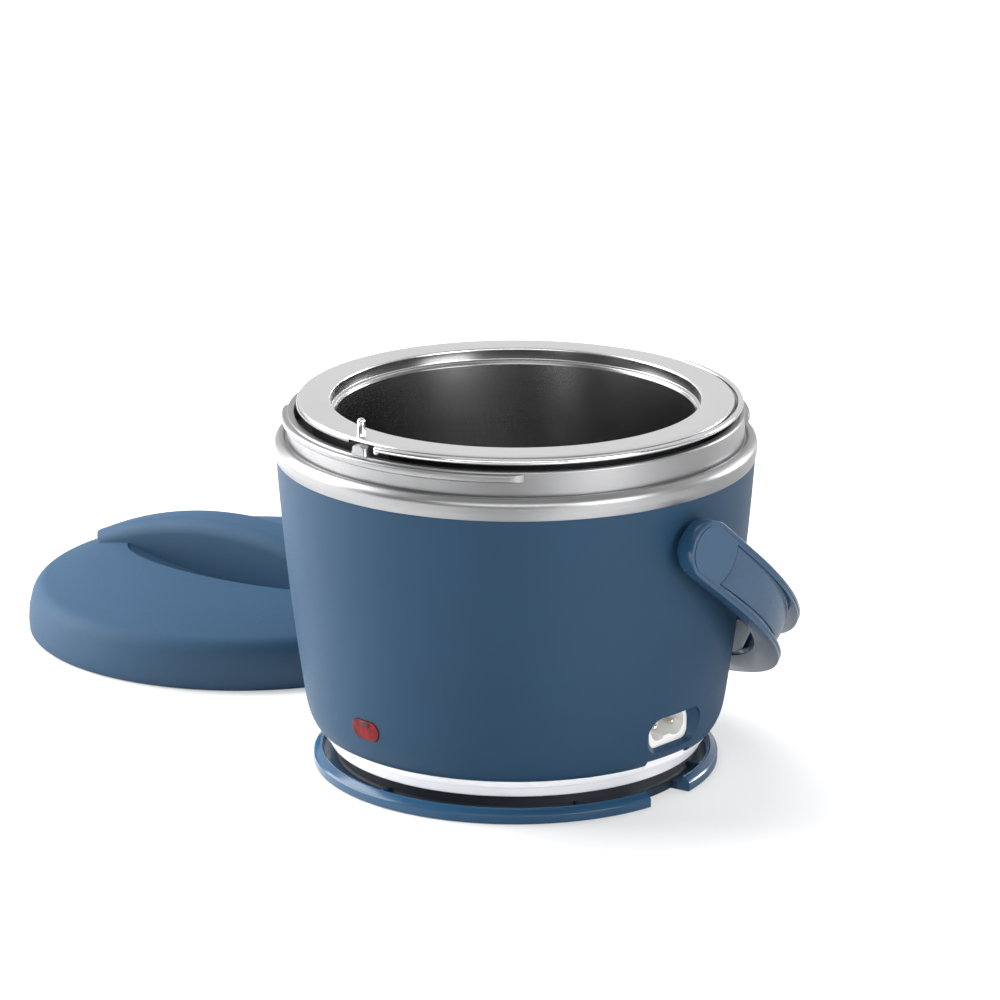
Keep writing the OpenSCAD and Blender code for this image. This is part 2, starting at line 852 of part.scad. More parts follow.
// Round lead through points joined by runs along X, Y or Z, with an elbow at each corner
module lead(points) {
    last = len(points) - 1;
    for (i = [0 : last - 1]) {
        run = points[i + 1] - points[i];
        way = run / norm(run);
        skip_start = i == 0 ? 0 : lead_bend;
        skip_end = i == last - 1 ? 0 : lead_bend;
        flat = norm([way.x, way.y]);
        translate(points[i] + way * skip_start)
            rotate([0, atan2(flat, way.z), atan2(way.y, way.x)])
                cylinder(h = norm(run) - skip_start - skip_end, r = lead_r, $fn = 24);
    }
    for (i = [1 : last - 1]) {
        from = (points[i] - points[i - 1]) / norm(points[i] - points[i - 1]);
        to = (points[i + 1] - points[i]) / norm(points[i + 1] - points[i]);
        side = cross(-to, from);
        centre = points[i] + (to - from) * lead_bend;
        multmatrix([[-to.x, from.x, side.x, centre.x],
                    [-to.y, from.y, side.y, centre.y],
                    [-to.z, from.z, side.z, centre.z],
                    [0, 0, 0, 1]])
            rotate_extrude(angle = 90, $fn = 24)
                translate([lead_bend, 0])
                    circle(r = lead_r);
    }
}

module lead_wires() {
    tab_x = housing_back_x - 6.05;
    pin_y1 = inlet_pin_gap / 2;
    stat_z = well_under_z - 13.05;
    fuse_z = well_under_z - 2.3;
    band_r = well_r(band_low_z) + well_t + 1.1;
    band_x = sqrt(band_r * band_r - 18 * 18);
    color("crimson") {
        rotate(inlet_turn)
            lead([[tab_x, pin_y1, socket_z], [20, pin_y1, socket_z], [20, 18, socket_z],
                  [4.2, 18, socket_z], [4.2, 18, stat_z]]);
        lead([[-3.5, 18, stat_z], [-3.5, 18, lead_z], [-band_x, 18, lead_z],
              [-band_x, 18, band_low_z - 0.1]]);
    }
    color("ivory") {
        rotate(inlet_turn)
            lead([[tab_x, -pin_y1, socket_z], [24, -pin_y1, socket_z], [24, -18, socket_z],
                  [12.5, -18, socket_z], [12.5, -18, fuse_z], [7.1, -18, fuse_z]]);
        lead([[-7.1, -18, fuse_z], [-12.5, -18, fuse_z], [-12.5, -18, lead_z],
              [-band_x, -18, lead_z], [-band_x, -18, band_low_z - 0.1]]);
        lead([[-5.05, -lamp_y, light_z], [-22, -lamp_y, light_z], [-22, -18.6, light_z]]);
    }
}

// ---------- handle ----------

// Half-ellipse arch in the XY plane with straight legs down to y = foot
function arch(x, top, foot) =
    concat([[x, foot], [x, arm_straight]],
           [for (i = [1 : arch_steps - 1])
                [x * cos(180 * i / arch_steps),
                 arm_straight + (top - arm_straight) * sin(180 * i / arch_steps)]],
           [[-x, arm_straight], [-x, foot]]);

// Band between two arches, extruded across the handle's width
module arch_band(x_out, top_out, x_in, top_in, foot, half_w) {
    translate([0, 0, -half_w])
        linear_extrude(2 * half_w)
            polygon(concat(arch(x_out, top_out, foot), reversed(arch(x_in, top_in, foot))));
}

// Outline of the handle seen from its side: a round end and a strip that narrows
module side_outline(end_half, grip_half, from) {
    rotate([90, 0, 90])
        translate([0, 0, -arm_out_x - cut])
            linear_extrude(2 * (arm_out_x + cut))
                polygon([[from, -end_half], [reach + cut, -grip_half],
                         [reach + cut, grip_half], [from, end_half]]);
}

module in_handle_frame() {
    translate([0, 0, pivot_z])
        rotate([-fold_angle, 0, 0])
            children();
}

module handle_ribs() {
    rib_count = 12;
    intersection() {
        for (i = [1 : rib_count])
            translate([0, arm_straight, 0])
                rotate(180 * i / (rib_count + 1))
                    translate([10, -rib_t / 2, -arm_end_r])
                        cube([arm_out_x + reach, rib_t, 2 * arm_end_r]);
        arch_band(arm_out_x - web_step, web_out, arm_in_x + 1.2, grip_in + 0.6, arm_straight, arm_end_r);
        side_outline(arm_end_r - handle_wall / 2, grip_half_w - handle_wall / 2, 0);
    }
}

module handle() {
    color("midnightblue")
    in_handle_frame() {
        difference() {
            intersection() {
                arch_band(arm_out_x, reach, arm_in_x, grip_in, -arm_end_r - cut, arm_end_r + cut);
                union() {
                    side_outline(arm_end_r, grip_half_w, 0);
                    along_x(-arm_out_x - cut, arm_out_x + cut, arm_end_r);
                }
            }
            // Outer channel, from the round ends over the grip
            intersection() {
                difference() {
                    arch_band(arm_out_x + 9, reach + 9, arm_out_x - web_step, web_out, 5, arm_end_r);
                    along_x(-arm_out_x - 9, arm_out_x + 9, recess_r);
                }
                side_outline(arm_end_r - handle_wall, grip_half_w - handle_wall, 0);
            }
            // Open hollow on the inner side
            intersection() {
                arch_band(arm_out_x - web_step - handle_wall, web_out - handle_wall,
                          arm_in_x - 9, grip_in - 9, stud_r + 4, arm_end_r);
                side_outline(arm_end_r - handle_wall, grip_half_w - handle_wall, 0);
            }
        }
        handle_ribs();
        for (s = [0, 180])
            rotate(s)
                difference() {
                    along_x(stud_end_x, arm_in_x + 0.5, stud_r);
                    along_x(stud_end_x - cut, arm_in_x, handle_screw_r + 0.05);
                }
    }
}

module grip_cover() {
    color("slategray")
    in_handle_frame()
        intersection() {
            difference() {
                arch_band(arm_out_x - web_step + cover_arm_t, web_out + cover_t,
                          arm_out_x - web_step, web_out, 5, arm_end_r);
                along_x(-arm_out_x - 9, arm_out_x + 9, recess_r + 0.2);
            }
            side_outline(arm_end_r - handle_wall - fit_gap, grip_half_w - handle_wall - 2.2, 0);
        }
}

module handle_retainers() {
    color("dimgray")
    in_handle_frame()
        for (s = [0, 180])
            rotate(s)
                difference() {
                    along_x(stud_end_x - retainer_t, stud_end_x, retainer_r);
                    along_x(stud_end_x - retainer_t - cut, stud_end_x + cut, handle_screw_r + 0.05);
                }
}

module handle_screws() {
    head_x = stud_end_x - retainer_t;
    color("silver")
    in_handle_frame()
        for (s = [0, 180])
            rotate(s) {
                along_x(head_x, head_x + handle_screw_l, handle_screw_r);
                along_x(head_x - 1.8, head_x, 2.6);
            }
}

// ---------- food container ----------

module food_container() {
    corner_z = bowl_floor_z + bowl_corner_r;
    corner_x = bowl_wall_r(corner_z) - bowl_corner_r;
    under_z = flange_z - sheet_t;
    rim_z = flange_z - rim_depth;
    color("gainsboro")
    difference() {
        rotate_extrude()
            polygon(concat(
                // Inside, from the centre of the floor up to the mouth
                [[0, bowl_floor_z]],
                arc(corner_x, corner_z, bowl_corner_r, -90, 0),
                [[wall_top_r, wall_top_z],
                 [wall_top_r + 0.5, ledge_z - 0.3],
                 [mouth_r - 0.5, ledge_z],
                 [mouth_r - 0.1, ledge_z + 0.5],
                 [mouth_r, flange_z - 0.9]],
                arc(mouth_r + 0.9, flange_z - 0.9, 0.9, 180, 90, 4),
                // Flange and turned-down rim
                [[flange_r - 3, flange_z]],
                arc(flange_r - 1.8, flange_z - 1.8, 1.8, 87, 0, 6),
                [[flange_r, rim_z],
                 [flange_r - sheet_t, rim_z],
                 [flange_r - sheet_t, flange_z - 1.2],
                 [flange_r - 1.2, under_z],
                 // Outside, back down to the floor
                 [mouth_r + sheet_t + 0.6, under_z],
                 [mouth_r + sheet_t, under_z - 0.6],
                 [mouth_r + sheet_t - 0.1, ledge_z - sheet_t + 0.6],
                 [wall_top_r + sheet_t + 0.3, ledge_z - sheet_t - 0.5],
                 [wall_top_r + sheet_t, wall_top_z - 0.6]],
                arc(corner_x, corner_z, bowl_corner_r + sheet_t, 0, -90),
                [[0, bowl_floor_z - sheet_t]]));
        // Notches in the rim for the post and for the bail's two ends
        translate([-notch_left, -flange_r - cut, rim_z - cut])
            cube([notch_left + bail_offset + wire_r + 1.4, cut + 3,
                  cut + rim_depth - sheet_t - fit_gap]);
        translate([bail_offset - wire_r - 0.8, flange_r - 3, rim_z - cut])
            cube([2 * wire_r + 2.2, cut + 3, cut + rim_depth - sheet_t - fit_gap]);
    }
}

module bail_ears() {
    under_z = flange_z - sheet_t;
    color("silver")
    for (s = [-1, 1])
        difference() {
            translate([bail_offset - ear_w / 2, s > 0 ? ear_in_y : -ear_in_y - ear_t, bail_z - 2])
                cube([ear_w, ear_t, under_z - bail_z + 2]);
            translate([bail_offset, -ear_in_y * 2, bail_z])
                rotate([-90, 0, 0])
                    cylinder(h = 4 * ear_in_y, r = ear_bore_r);
        }
}

module locating_pin() {
    color("silver")
    translate([pin_x, pin_y, flange_z]) {
        cylinder(h = pin_h - pin_r, r = pin_r);
        translate([0, 0, pin_h - pin_r])
            sphere(r = pin_r);
    }
}

module container_bail() {
    start = asin(bail_offset / bail_r);
    end_y = ear_in_y - 0.3;
    color("lightgray")
    translate([0, 0, bail_z]) {
        translate([0, 0, bail_rise])
            rotate(start - 90)
                rotate_extrude(angle = 180 - 2 * start)
                    translate([bail_r, 0])
                        circle(r = wire_r, $fn = 32);
        // Cranked ends that turn in the ears
        for (s = [-1, 1])
            translate([bail_offset, s * bail_end_y, 0]) {
                translate([0, 0, bail_rise])
                    sphere(r = wire_r + 0.08);
                cylinder(h = bail_rise, r = wire_r);
                sphere(r = wire_r + 0.08);
                rotate([s * 90, 0, 0])
                    cylinder(h = bail_end_y - end_y, r = wire_r);
            }
    }
}

// ---------- lid ----------

module in_lid_frame() {
    translate([-lid_left, lid_back, 0])
        rotate(lid_turn)
            children();
}

dome_steps = 16;
function dome_points(offset) =
    [for (i = [0 : dome_steps])
        let (r = dome_edge_r * (1 - i / dome_steps))
        [r, dome_z(r) - offset]];

module lid_outside() {
    rotate_extrude()
        polygon(concat([[0, 0],
                        [lid_r - 1.4, 0],
                        [lid_r - 0.5, 0.9],
                        [lid_r, 4],
                        [lid_r - 0.2, 8],
                        [lid_shoulder_r + 0.1, skirt_h - 1.6],
                        [lid_shoulder_r - 0.4, skirt_h + 0.3]],
                       dome_points(0)));
}

// Grip bar: a round-edged section swept along its arch, cut to its plan with rounded ends
module grip_bar(inset) {
    half_l = bar_l / 2 - inset;
    half_w = bar_w / 2 - inset;
    soft_r = bar_soft - inset;
    arch_r = (half_l * half_l + pow(bar_h - bar_end_h, 2)) / (2 * (bar_h - bar_end_h));
    intersection() {
        translate([0, 0, bar_h - inset - arch_r])
            rotate([90, 0, 0])
                rotate_extrude($fn = 240)
                    polygon(concat([[arch_r - bar_h, -half_w]],
                                   arc(arch_r - soft_r, -half_w + soft_r, soft_r, -90, 0, 6),
                                   arc(arch_r - soft_r, half_w - soft_r, soft_r, 0, 90, 6),
                                   [[arch_r - bar_h, half_w]]));
        translate([0, 0, dome_edge_z - 2])
            linear_extrude(bar_h)
                polygon(rounded_box(0, 0, 2 * half_l, 2 * half_w, bar_round, bar_round));
    }
}

// Wheel-shaped cutters that sweep the two finger scoops
module scoop_wheels(extra) {
    rim_r = wheel_r + extra;
    for (s = [-1, 1])
        translate([0, s * wheel_y, dome_h - scoop_depth + wheel_reach])
            rotate([90, 0, 0])
                rotate_extrude()
                    intersection() {
                        translate([wheel_reach - wheel_r, 0])
                            circle(r = rim_r);
                        translate([0, -2 * rim_r])
                            square([2 * wheel_reach, 4 * rim_r]);
                    }
}

module lid_inside() {
    difference() {
        union() {
            rotate_extrude()
                polygon(concat([[0, -cut],
                                [skirt_in_r, -cut],
                                [skirt_in_r, 8],
                                [lid_shoulder_r - lid_t, skirt_h - 2.2]],
                               [for (p = dome_points(lid_t)) if (p[0] < lid_shoulder_r - lid_t) p]));
            grip_bar(lid_t);
        }
        scoop_wheels(lid_t);
    }
}

module lid_shell() {
    color("steelblue")
    in_lid_frame() {
        difference() {
            union() {
                difference() {
                    lid_outside();
                    scoop_wheels(0);
                }
                intersection() {
                    grip_bar(0);
                    translate([0, 0, dome_h - scoop_depth - lid_t])
                        cylinder(h = bar_h, r = lid_r);
                }
            }
            lid_inside();
        }
        // Bayonet lugs inside the skirt; they pass over the folded bail and under the neck's lugs
        for (s = [0, 180])
            rotate(s + 20)
                rotate_extrude(angle = 60)
                    polygon([[lid_lug_r, 1.4], [skirt_in_r + 0.5, 0.8],
                             [skirt_in_r + 0.5, lid_lug_top_z], [lid_lug_r, lid_lug_top_z]]);
    }
}

module lid_liner() {
    ring_top_z = dome_z(gasket_out_r + 0.6) - lid_t - 0.3;
    color("gainsboro")
    in_lid_frame()
        rotate_extrude()
            polygon([[0, liner_z],
                     [gasket_in_r + 0.4, liner_z],
                     [gasket_in_r, gasket_z + gasket_h],
                     [gasket_out_r + 0.6, gasket_z + gasket_h],
                     [gasket_out_r + 0.6, ring_top_z],
                     [gasket_out_r - 0.8, ring_top_z],
                     [gasket_out_r - 0.8, gasket_z + gasket_h + liner_t],
                     [gasket_in_r + liner_t, gasket_z + gasket_h + liner_t],
                     [gasket_in_r + liner_t, liner_z + liner_t],
                     [0, liner_z + liner_t]]);
}

module lid_gasket() {
    color("white")
    in_lid_frame()
        rotate_extrude()
            polygon([[gasket_in_r + 0.2, gasket_z + gasket_h],
                     [gasket_in_r + 0.2, gasket_z + 0.6],
                     [gasket_in_r + 1.2, gasket_z],
                     [gasket_out_r - 1, gasket_z],
                     [gasket_out_r, gasket_z + 0.6],
                     [gasket_out_r, gasket_z + gasket_h]]);
}

outer_shell();
collar();
neck_post();
well_trim();
heating_well();
heating_band();
band_screw();
insulation_wrap();
thermostat();
thermal_fuse();
base_pan();
cord_wrap_base();
rubber_feet();
base_screws();
inlet_housing();
inlet_pins();
power_light_lens();
lamp_bracket();
indicator_lamp();
lead_wires();
handle();
grip_cover();
handle_retainers();
handle_screws();
food_container();
bail_ears();
locating_pin();
container_bail();
lid_shell();
lid_liner();
lid_gasket();
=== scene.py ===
# %% [markdown]
# # A heated lunch box, modelled by hand in Blender
# The lunch box is a round blue base with a silver collar, a steel container that lifts out,
# a carry handle that folds down behind, and a lid that lies beside it on the table.
# The frame from the CAD model is loaded first. It gives every piece its place, so each new piece
# is made exactly where the frame says.

# %% Load the frame
import math
import bpy
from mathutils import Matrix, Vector


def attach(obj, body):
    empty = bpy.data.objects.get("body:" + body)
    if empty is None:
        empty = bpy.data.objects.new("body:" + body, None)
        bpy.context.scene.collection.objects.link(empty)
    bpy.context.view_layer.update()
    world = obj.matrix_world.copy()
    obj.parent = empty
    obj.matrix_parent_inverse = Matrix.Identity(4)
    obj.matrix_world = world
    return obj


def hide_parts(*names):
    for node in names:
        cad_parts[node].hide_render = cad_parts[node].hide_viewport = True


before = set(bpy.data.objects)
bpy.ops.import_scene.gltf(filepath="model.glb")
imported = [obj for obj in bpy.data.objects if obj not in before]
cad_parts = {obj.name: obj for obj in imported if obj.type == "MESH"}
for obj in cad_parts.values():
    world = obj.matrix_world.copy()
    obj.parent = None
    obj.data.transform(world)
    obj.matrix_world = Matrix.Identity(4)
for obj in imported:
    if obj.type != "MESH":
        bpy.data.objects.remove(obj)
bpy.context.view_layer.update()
MM = 0.001

# %% [markdown]
# ## The camera
# A product is usually shown with a long lens from a little above, because a long lens keeps
# circles and upright lines calm. The camera stands 1.6 m away, to the right of the power light.

# %% Camera
CAMERA_AZIMUTH, CAMERA_DISTANCE, CAMERA_HEIGHT = 43.7, 1634.9, 578.5
CAMERA_TILT, CAMERA_PAN, CAMERA_LENS = 16.68, 0.18, 187.25


def add_camera():
    around = math.radians(CAMERA_AZIMUTH)
    place = (CAMERA_DISTANCE * math.sin(around) * MM,
             -CAMERA_DISTANCE * math.cos(around) * MM,
             CAMERA_HEIGHT * MM)
    turn = (math.radians(90 - CAMERA_TILT), 0, math.radians(CAMERA_AZIMUTH + CAMERA_PAN))
    bpy.ops.object.camera_add(location=place, rotation=turn)
    camera = bpy.context.object
    camera.name = "camera"
    camera.data.lens = CAMERA_LENS
    camera.data.clip_start = 0.05
    camera.data.clip_end = 20
    bpy.context.scene.camera = camera
    return camera


print("camera at", [round(c, 3) for c in add_camera().location])

# %% [markdown]
# ## The lamps
# The light is a plain studio. One broad soft lamp stands on the left, and its twin beside it
# lights only the matt surfaces, so that the metal isn't burnt out. Weaker lamps fill the right
# and the front, a small one draws the right edge, and one above and behind lights the tops.

# %% Lamps
MIDDLE = (0, 0, 0.07)
# Name, place (right of the object, away from the camera, up), size, watts, shown in gloss
LAMPS = (("key_left", (-1.6, 0.55, 0.8), (1.5, 1.7), 37, True),
         ("key_soft", (-1.6, 0.45, 0.8), (1.5, 1.7), 60, False),
         ("fill_right", (1.1, -1.1, 0.6), (0.9, 0.9), 14, True),
         ("soft_front", (-0.2, -1.7, 1.2), (2.0, 0.9), 13, True),
         ("edge_right", (1.2, 0.75, 0.3), (0.5, 0.4), 9, True),
         ("top_back", (0.1, 0.75, 1.2), (1.5, 0.7), 26, False))


def around_camera(side, back, up):
    """A point given to the right of the object, away from the camera and up, in metres."""
    a = math.radians(CAMERA_AZIMUTH)
    return (side * math.cos(a) - back * math.sin(a), side * math.sin(a) + back * math.cos(a), up)


def add_lamp(name, place, size, watts, in_gloss):
    """A soft rectangular lamp that points at the middle of the object."""
    bpy.ops.object.light_add(type="AREA", location=place)
    lamp = bpy.context.object
    lamp.name = name
    lamp.data.shape = "RECTANGLE"
    lamp.data.size, lamp.data.size_y = size
    lamp.data.energy = watts
    way = [MIDDLE[i] - place[i] for i in range(3)]
    lamp.rotation_euler = Vector(way).to_track_quat("-Z", "Y").to_euler()
    lamp.visible_glossy = in_gloss


for name, place, size, watts, in_gloss in LAMPS:
    add_lamp(name, around_camera(*place), size, watts, in_gloss)
print("lamps:", len(LAMPS))

# %% [markdown]
# ## Wiring shader nodes
# The world, the floor and every finish are node trees. By hand one adds a node, types in its
# numbers and draws the links. The first helper does those three things in one call, and the
# others are the few small groups of nodes that come back again and again.

# %% Node helpers
WHITE = (1, 1, 1, 1)


def clear_tree(owner):
    owner.use_nodes = True
    owner.node_tree.nodes.clear()
    return owner.node_tree


def wire(tree, target, inputs):
    """Gives a node's inputs their numbers and colours, or links them to other outputs."""
    for name, value in inputs.items():
        if isinstance(value, bpy.types.NodeSocket):
            tree.links.new(value, target.inputs[name])
        else:
            target.inputs[name].default_value = value


def node(tree, kind, inputs, **settings):
    made = tree.nodes.new("ShaderNode" + kind)
    for name, value in settings.items():
        setattr(made, name, value)
    wire(tree, made, inputs)
    return made


def object_coords(tree):
    return node(tree, "TexCoord", {}).outputs["Object"]


def map_range(tree, value, low, high, to_low=0.0, to_high=1.0, **settings):
    limits = {"From Min": low, "From Max": high, "To Min": to_low, "To Max": to_high}
    return node(tree, "MapRange", {"Value": value, **limits}, **settings).outputs["Result"]


def grey_ramp(tree, value, stops):
    """A ramp of greys from (place, brightness) stops."""
    made = node(tree, "ValToRGB", {"Fac": value})
    elements = made.color_ramp.elements
    for _ in stops[2:]:
        elements.new(0.5)
    for element, (place, pale) in zip(elements, stops):
        element.position = place
        element.color = (pale, pale, pale, 1)
    return made.outputs["Color"]


def choose(tree, ray, others, chosen):
    """One shader for a kind of ray, and another for all the rest."""
    is_ray = node(tree, "LightPath", {}).outputs[ray]
    return node(tree, "MixShader", {"Fac": is_ray, 1: others, 2: chosen}).outputs[0]


# %% [markdown]
# ## The world
# Metal and gloss need something to reflect, so the world is pale. The camera sees it white,
# matt surfaces get a dim light from it, and mirrored directions see a bright sky whose front,
# on the camera's side, is darker. That difference gives the steel its light and dark.

# %% World
AMBIENT, FRONT_SKY, BACK_SKY = 0.12, 0.22, 0.8
AMBIENT_COLOR = (0.92, 0.96, 1, 1)
SKY_FROM, SKY_TO = -0.35, 0.55


def backdrop(tree, color, strength):
    return node(tree, "Background", {"Color": color, "Strength": strength}).outputs[0]


def add_world():
    world = bpy.data.worlds.new("pale_studio")
    bpy.context.scene.world = world
    tree = clear_tree(world)
    direction = node(tree, "TexCoord", {}).outputs["Generated"]
    away = node(tree, "VectorMath", {0: direction, 1: around_camera(0, 1, 0.25)},
                operation="DOT_PRODUCT").outputs["Value"]
    level = map_range(tree, away, SKY_FROM, SKY_TO, FRONT_SKY, BACK_SKY,
                      interpolation_type="SMOOTHSTEP")
    unseen = choose(tree, "Is Glossy Ray", backdrop(tree, AMBIENT_COLOR, AMBIENT),
                    backdrop(tree, WHITE, level))
    shown = choose(tree, "Is Camera Ray", unseen, backdrop(tree, WHITE, 1.0))
    node(tree, "OutputWorld", {"Surface": shown})


add_world()
bpy.context.scene.view_settings.view_transform = "Standard"
print("sky from", FRONT_SKY, "to", BACK_SKY)

# %% [markdown]
# ## The floor
# The floor looks white to the camera because it glows a little, and it is matt as well, so it
# keeps the object's shadow. Gloss sees paler and darker sectors on it, as the cards and dark
# corners of a studio make, and these draw the soft bands on the collar.

# %% Floor
FLOOR_TONE, FLOOR_GLOW, FLOOR_BOUNCE = 0.5, 0.42, 0.84
GLOW_FROM, GLOW_TO = 0.7, 2.0
# Directions in degrees right of the camera, and how pale gloss sees the floor there
FLOOR_SECTORS = ((-180, 0.5), (-150, 0.72), (-60, 0.78), (-32, 0.74), (-14, 0.42), (4, 0.42),
                 (20, 0.85), (38, 0.95), (62, 0.7), (95, 0.34), (135, 0.34), (180, 0.5))


def sector_tone(tree):
    turn = (0, 0, math.radians(90 - CAMERA_AZIMUTH))
    place = node(tree, "Mapping", {"Vector": object_coords(tree), "Rotation": turn})
    parts = node(tree, "SeparateXYZ", {"Vector": place.outputs["Vector"]}).outputs
    around = node(tree, "Math", {0: parts["Y"], 1: parts["X"]}, operation="ARCTAN2")
    share = map_range(tree, around.outputs["Value"], -math.pi, math.pi)
    return grey_ramp(tree, share, [(degrees / 360 + 0.5, pale) for degrees, pale in FLOOR_SECTORS])


def matt(tree, color):
    return node(tree, "BsdfDiffuse", {"Color": color}).outputs[0]


def floor_finish():
    material = bpy.data.materials.new("pale_floor")
    tree = clear_tree(material)
    # Far from the lamps the glow grows, so that the floor stays pale to the horizon
    distance = node(tree, "VectorMath", {0: object_coords(tree)}, operation="LENGTH")
    strength = map_range(tree, distance.outputs["Value"], GLOW_FROM, GLOW_TO, FLOOR_GLOW, 1.0)
    glow = node(tree, "Emission", {"Color": WHITE, "Strength": strength}).outputs[0]
    tone_matt = matt(tree, (FLOOR_TONE, FLOOR_TONE, FLOOR_TONE, 1))
    bounce = matt(tree, (FLOOR_BOUNCE, FLOOR_BOUNCE, FLOOR_BOUNCE, 1))
    seen = node(tree, "AddShader", {0: tone_matt, 1: glow}).outputs[0]
    unseen = choose(tree, "Is Glossy Ray", bounce, matt(tree, sector_tone(tree)))
    node(tree, "OutputMaterial", {"Surface": choose(tree, "Is Camera Ray", unseen, seen)})
    return material


def add_floor():
    bpy.ops.mesh.primitive_plane_add(size=12, location=(0, 0, 0))
    floor = bpy.context.object
    floor.name = "floor"
    floor.location.z = -0.0002
    floor.data.materials.append(floor_finish())
    return floor


print("floor width:", round(add_floor().dimensions.x, 2), "m")

# %% [markdown]
# ## The tools on the bench
# Almost every piece here was made by turning, moulding or pressing, so three moves make most of
# them. A line of points is drawn by extruding one vertex. The line is then spun round an axis,
# or filled and extruded into a block. Booleans cut the openings, as a punch or a core would.

# %% Drawing a line with one extruded vertex
JOIN_GAP = 2e-6


def pick(*objects):
    bpy.ops.object.select_all(action="DESELECT")
    for one in objects:
        one.select_set(True)
    bpy.context.view_layer.objects.active = objects[-1]


def draw_line(name, points):
    """A mesh of one line through points in millimetres, left in edit mode."""
    bpy.ops.object.select_all(action="DESELECT")
    bpy.ops.mesh.primitive_plane_add(size=MM, location=(0, 0, 0))
    piece = bpy.context.object
    piece.name = piece.data.name = name
    bpy.ops.object.mode_set(mode="EDIT")
    bpy.ops.mesh.select_all(action="SELECT")
    bpy.ops.mesh.merge(type="CENTER")
    bpy.ops.transform.translate(value=[c * MM for c in points[0]])
    for start, end in zip(points, points[1:]):
        step = [(e - s) * MM for s, e in zip(start, end)]
        bpy.ops.mesh.extrude_region_move(TRANSFORM_OT_translate={"value": step})
    return piece


def close_up():
    """Joins doubled points and turns all faces outwards."""
    bpy.ops.mesh.select_all(action="SELECT")
    bpy.ops.mesh.remove_doubles(threshold=JOIN_GAP)
    bpy.ops.mesh.normals_make_consistent(inside=False)


# %% Turning
def spin_round(steps, angle):
    bpy.ops.mesh.select_all(action="SELECT")
    bpy.ops.mesh.spin(steps=steps, angle=angle, center=(0, 0, 0), axis=(0, 0, -1))
    close_up()


def lathe(name, outline, steps=192, turn=360.0, start=0.0, closed=True):
    """Spins (radius, height) pairs round the upright axis, anticlockwise."""
    a = math.radians(start)
    loop = outline + outline[:1] if closed else outline
    piece = draw_line(name, [(r * math.cos(a), r * math.sin(a), z) for r, z in loop])
    if closed:
        bpy.ops.mesh.select_all(action="SELECT")
        bpy.ops.mesh.remove_doubles(threshold=JOIN_GAP)
    spin_round(steps, math.radians(turn))
    if turn < 360:
        bpy.ops.mesh.select_all(action="DESELECT")
        bpy.ops.mesh.select_non_manifold()
        bpy.ops.mesh.fill_holes(sides=0)
        close_up()
    bpy.ops.object.mode_set(mode="OBJECT")
    return piece


# %% Filling and extruding
def turned(points, degrees):
    """Points turned round the upright axis."""
    a = math.radians(degrees)
    return [(x * math.cos(a) - y * math.sin(a), x * math.sin(a) + y * math.cos(a), z)
            for x, y, z in points]


def fill_outline(name, outline):
    """One face inside a closed outline, left in edit mode."""
    piece = draw_line(name, outline + outline[:1])
    bpy.ops.mesh.select_all(action="SELECT")
    bpy.ops.mesh.remove_doubles(threshold=JOIN_GAP)
    bpy.ops.mesh.select_all(action="SELECT")
    bpy.ops.mesh.edge_face_add()
    return piece


def block(name, outline, way):
    """Fills an outline of points and extrudes it by a vector, all in millimetres."""
    piece = fill_outline(name, outline)
    bpy.ops.mesh.extrude_region_move(TRANSFORM_OT_translate={"value": [c * MM for c in way]})
    close_up()
    bpy.ops.object.mode_set(mode="OBJECT")
    return piece


def brick(name, x, y, z, turn=0.0):
    """A box between pairs of limits, turned round the upright axis."""
    outline = [(x[0], y[0], z[0]), (x[0], y[1], z[0]), (x[0], y[1], z[1]), (x[0], y[0], z[1])]
    return block(name, turned(outline, turn), turned([(x[1] - x[0], 0, 0)], turn)[0])


# %% Placing, and cylinders
ALONG_X, ALONG_Y = (0, math.pi / 2, 0), (math.pi / 2, 0, 0)


def set_place(piece):
    """Puts an object's place and turn into its mesh."""
    pick(piece)
    bpy.ops.object.transform_apply(location=True, rotation=True, scale=True)
    return piece


def moved(piece, x, y, z):
    piece.location = (x * MM, y * MM, z * MM)
    return set_place(piece)


def cylinder(name, place, radius, length, sides=40, turn=(0, 0, 0)):
    bpy.ops.object.select_all(action="DESELECT")
    bpy.ops.mesh.primitive_cylinder_add(vertices=sides, radius=radius * MM, depth=length * MM,
                                        location=[c * MM for c in place], rotation=turn)
    piece = bpy.context.object
    piece.name = piece.data.name = name
    return set_place(piece)


def tube_z(name, place, z_from, z_to, radius, sides=40):
    middle = (place[0], place[1], (z_from + z_to) / 2)
    return cylinder(name, middle, radius, z_to - z_from, sides)


def tube_x(name, x_from, x_to, y, z, radius, sides=40):
    return cylinder(name, ((x_from + x_to) / 2, y, z), radius, x_to - x_from, sides, ALONG_X)


# %% Cutting, softening and joining
def use_modifier(piece, kind, **settings):
    pick(piece)
    modifier = piece.modifiers.new(kind.lower(), kind)
    for key, value in settings.items():
        setattr(modifier, key, value)
    bpy.ops.object.modifier_apply(modifier=modifier.name)


def combine(piece, tool, operation="DIFFERENCE"):
    use_modifier(piece, "BOOLEAN", object=tool, operation=operation, solver="EXACT")
    bpy.data.objects.remove(tool)
    return piece


def soften(piece, width, segments=3, angle=30):
    """Rounds the edges that turn by more than an angle."""
    use_modifier(piece, "BEVEL", width=width * MM, segments=segments, limit_method="ANGLE",
                 angle_limit=math.radians(angle), miter_outer="MITER_ARC",
                 use_clamp_overlap=True, harden_normals=False)
    return piece


def join(main, *others):
    pick(*others, main)
    bpy.ops.object.join()
    return main


# %% [markdown]
# A moulder or a sheet-metal worker rounds nearly every corner. An outline is therefore listed as
# sharp corners with a radius each, and one helper puts the arcs in.

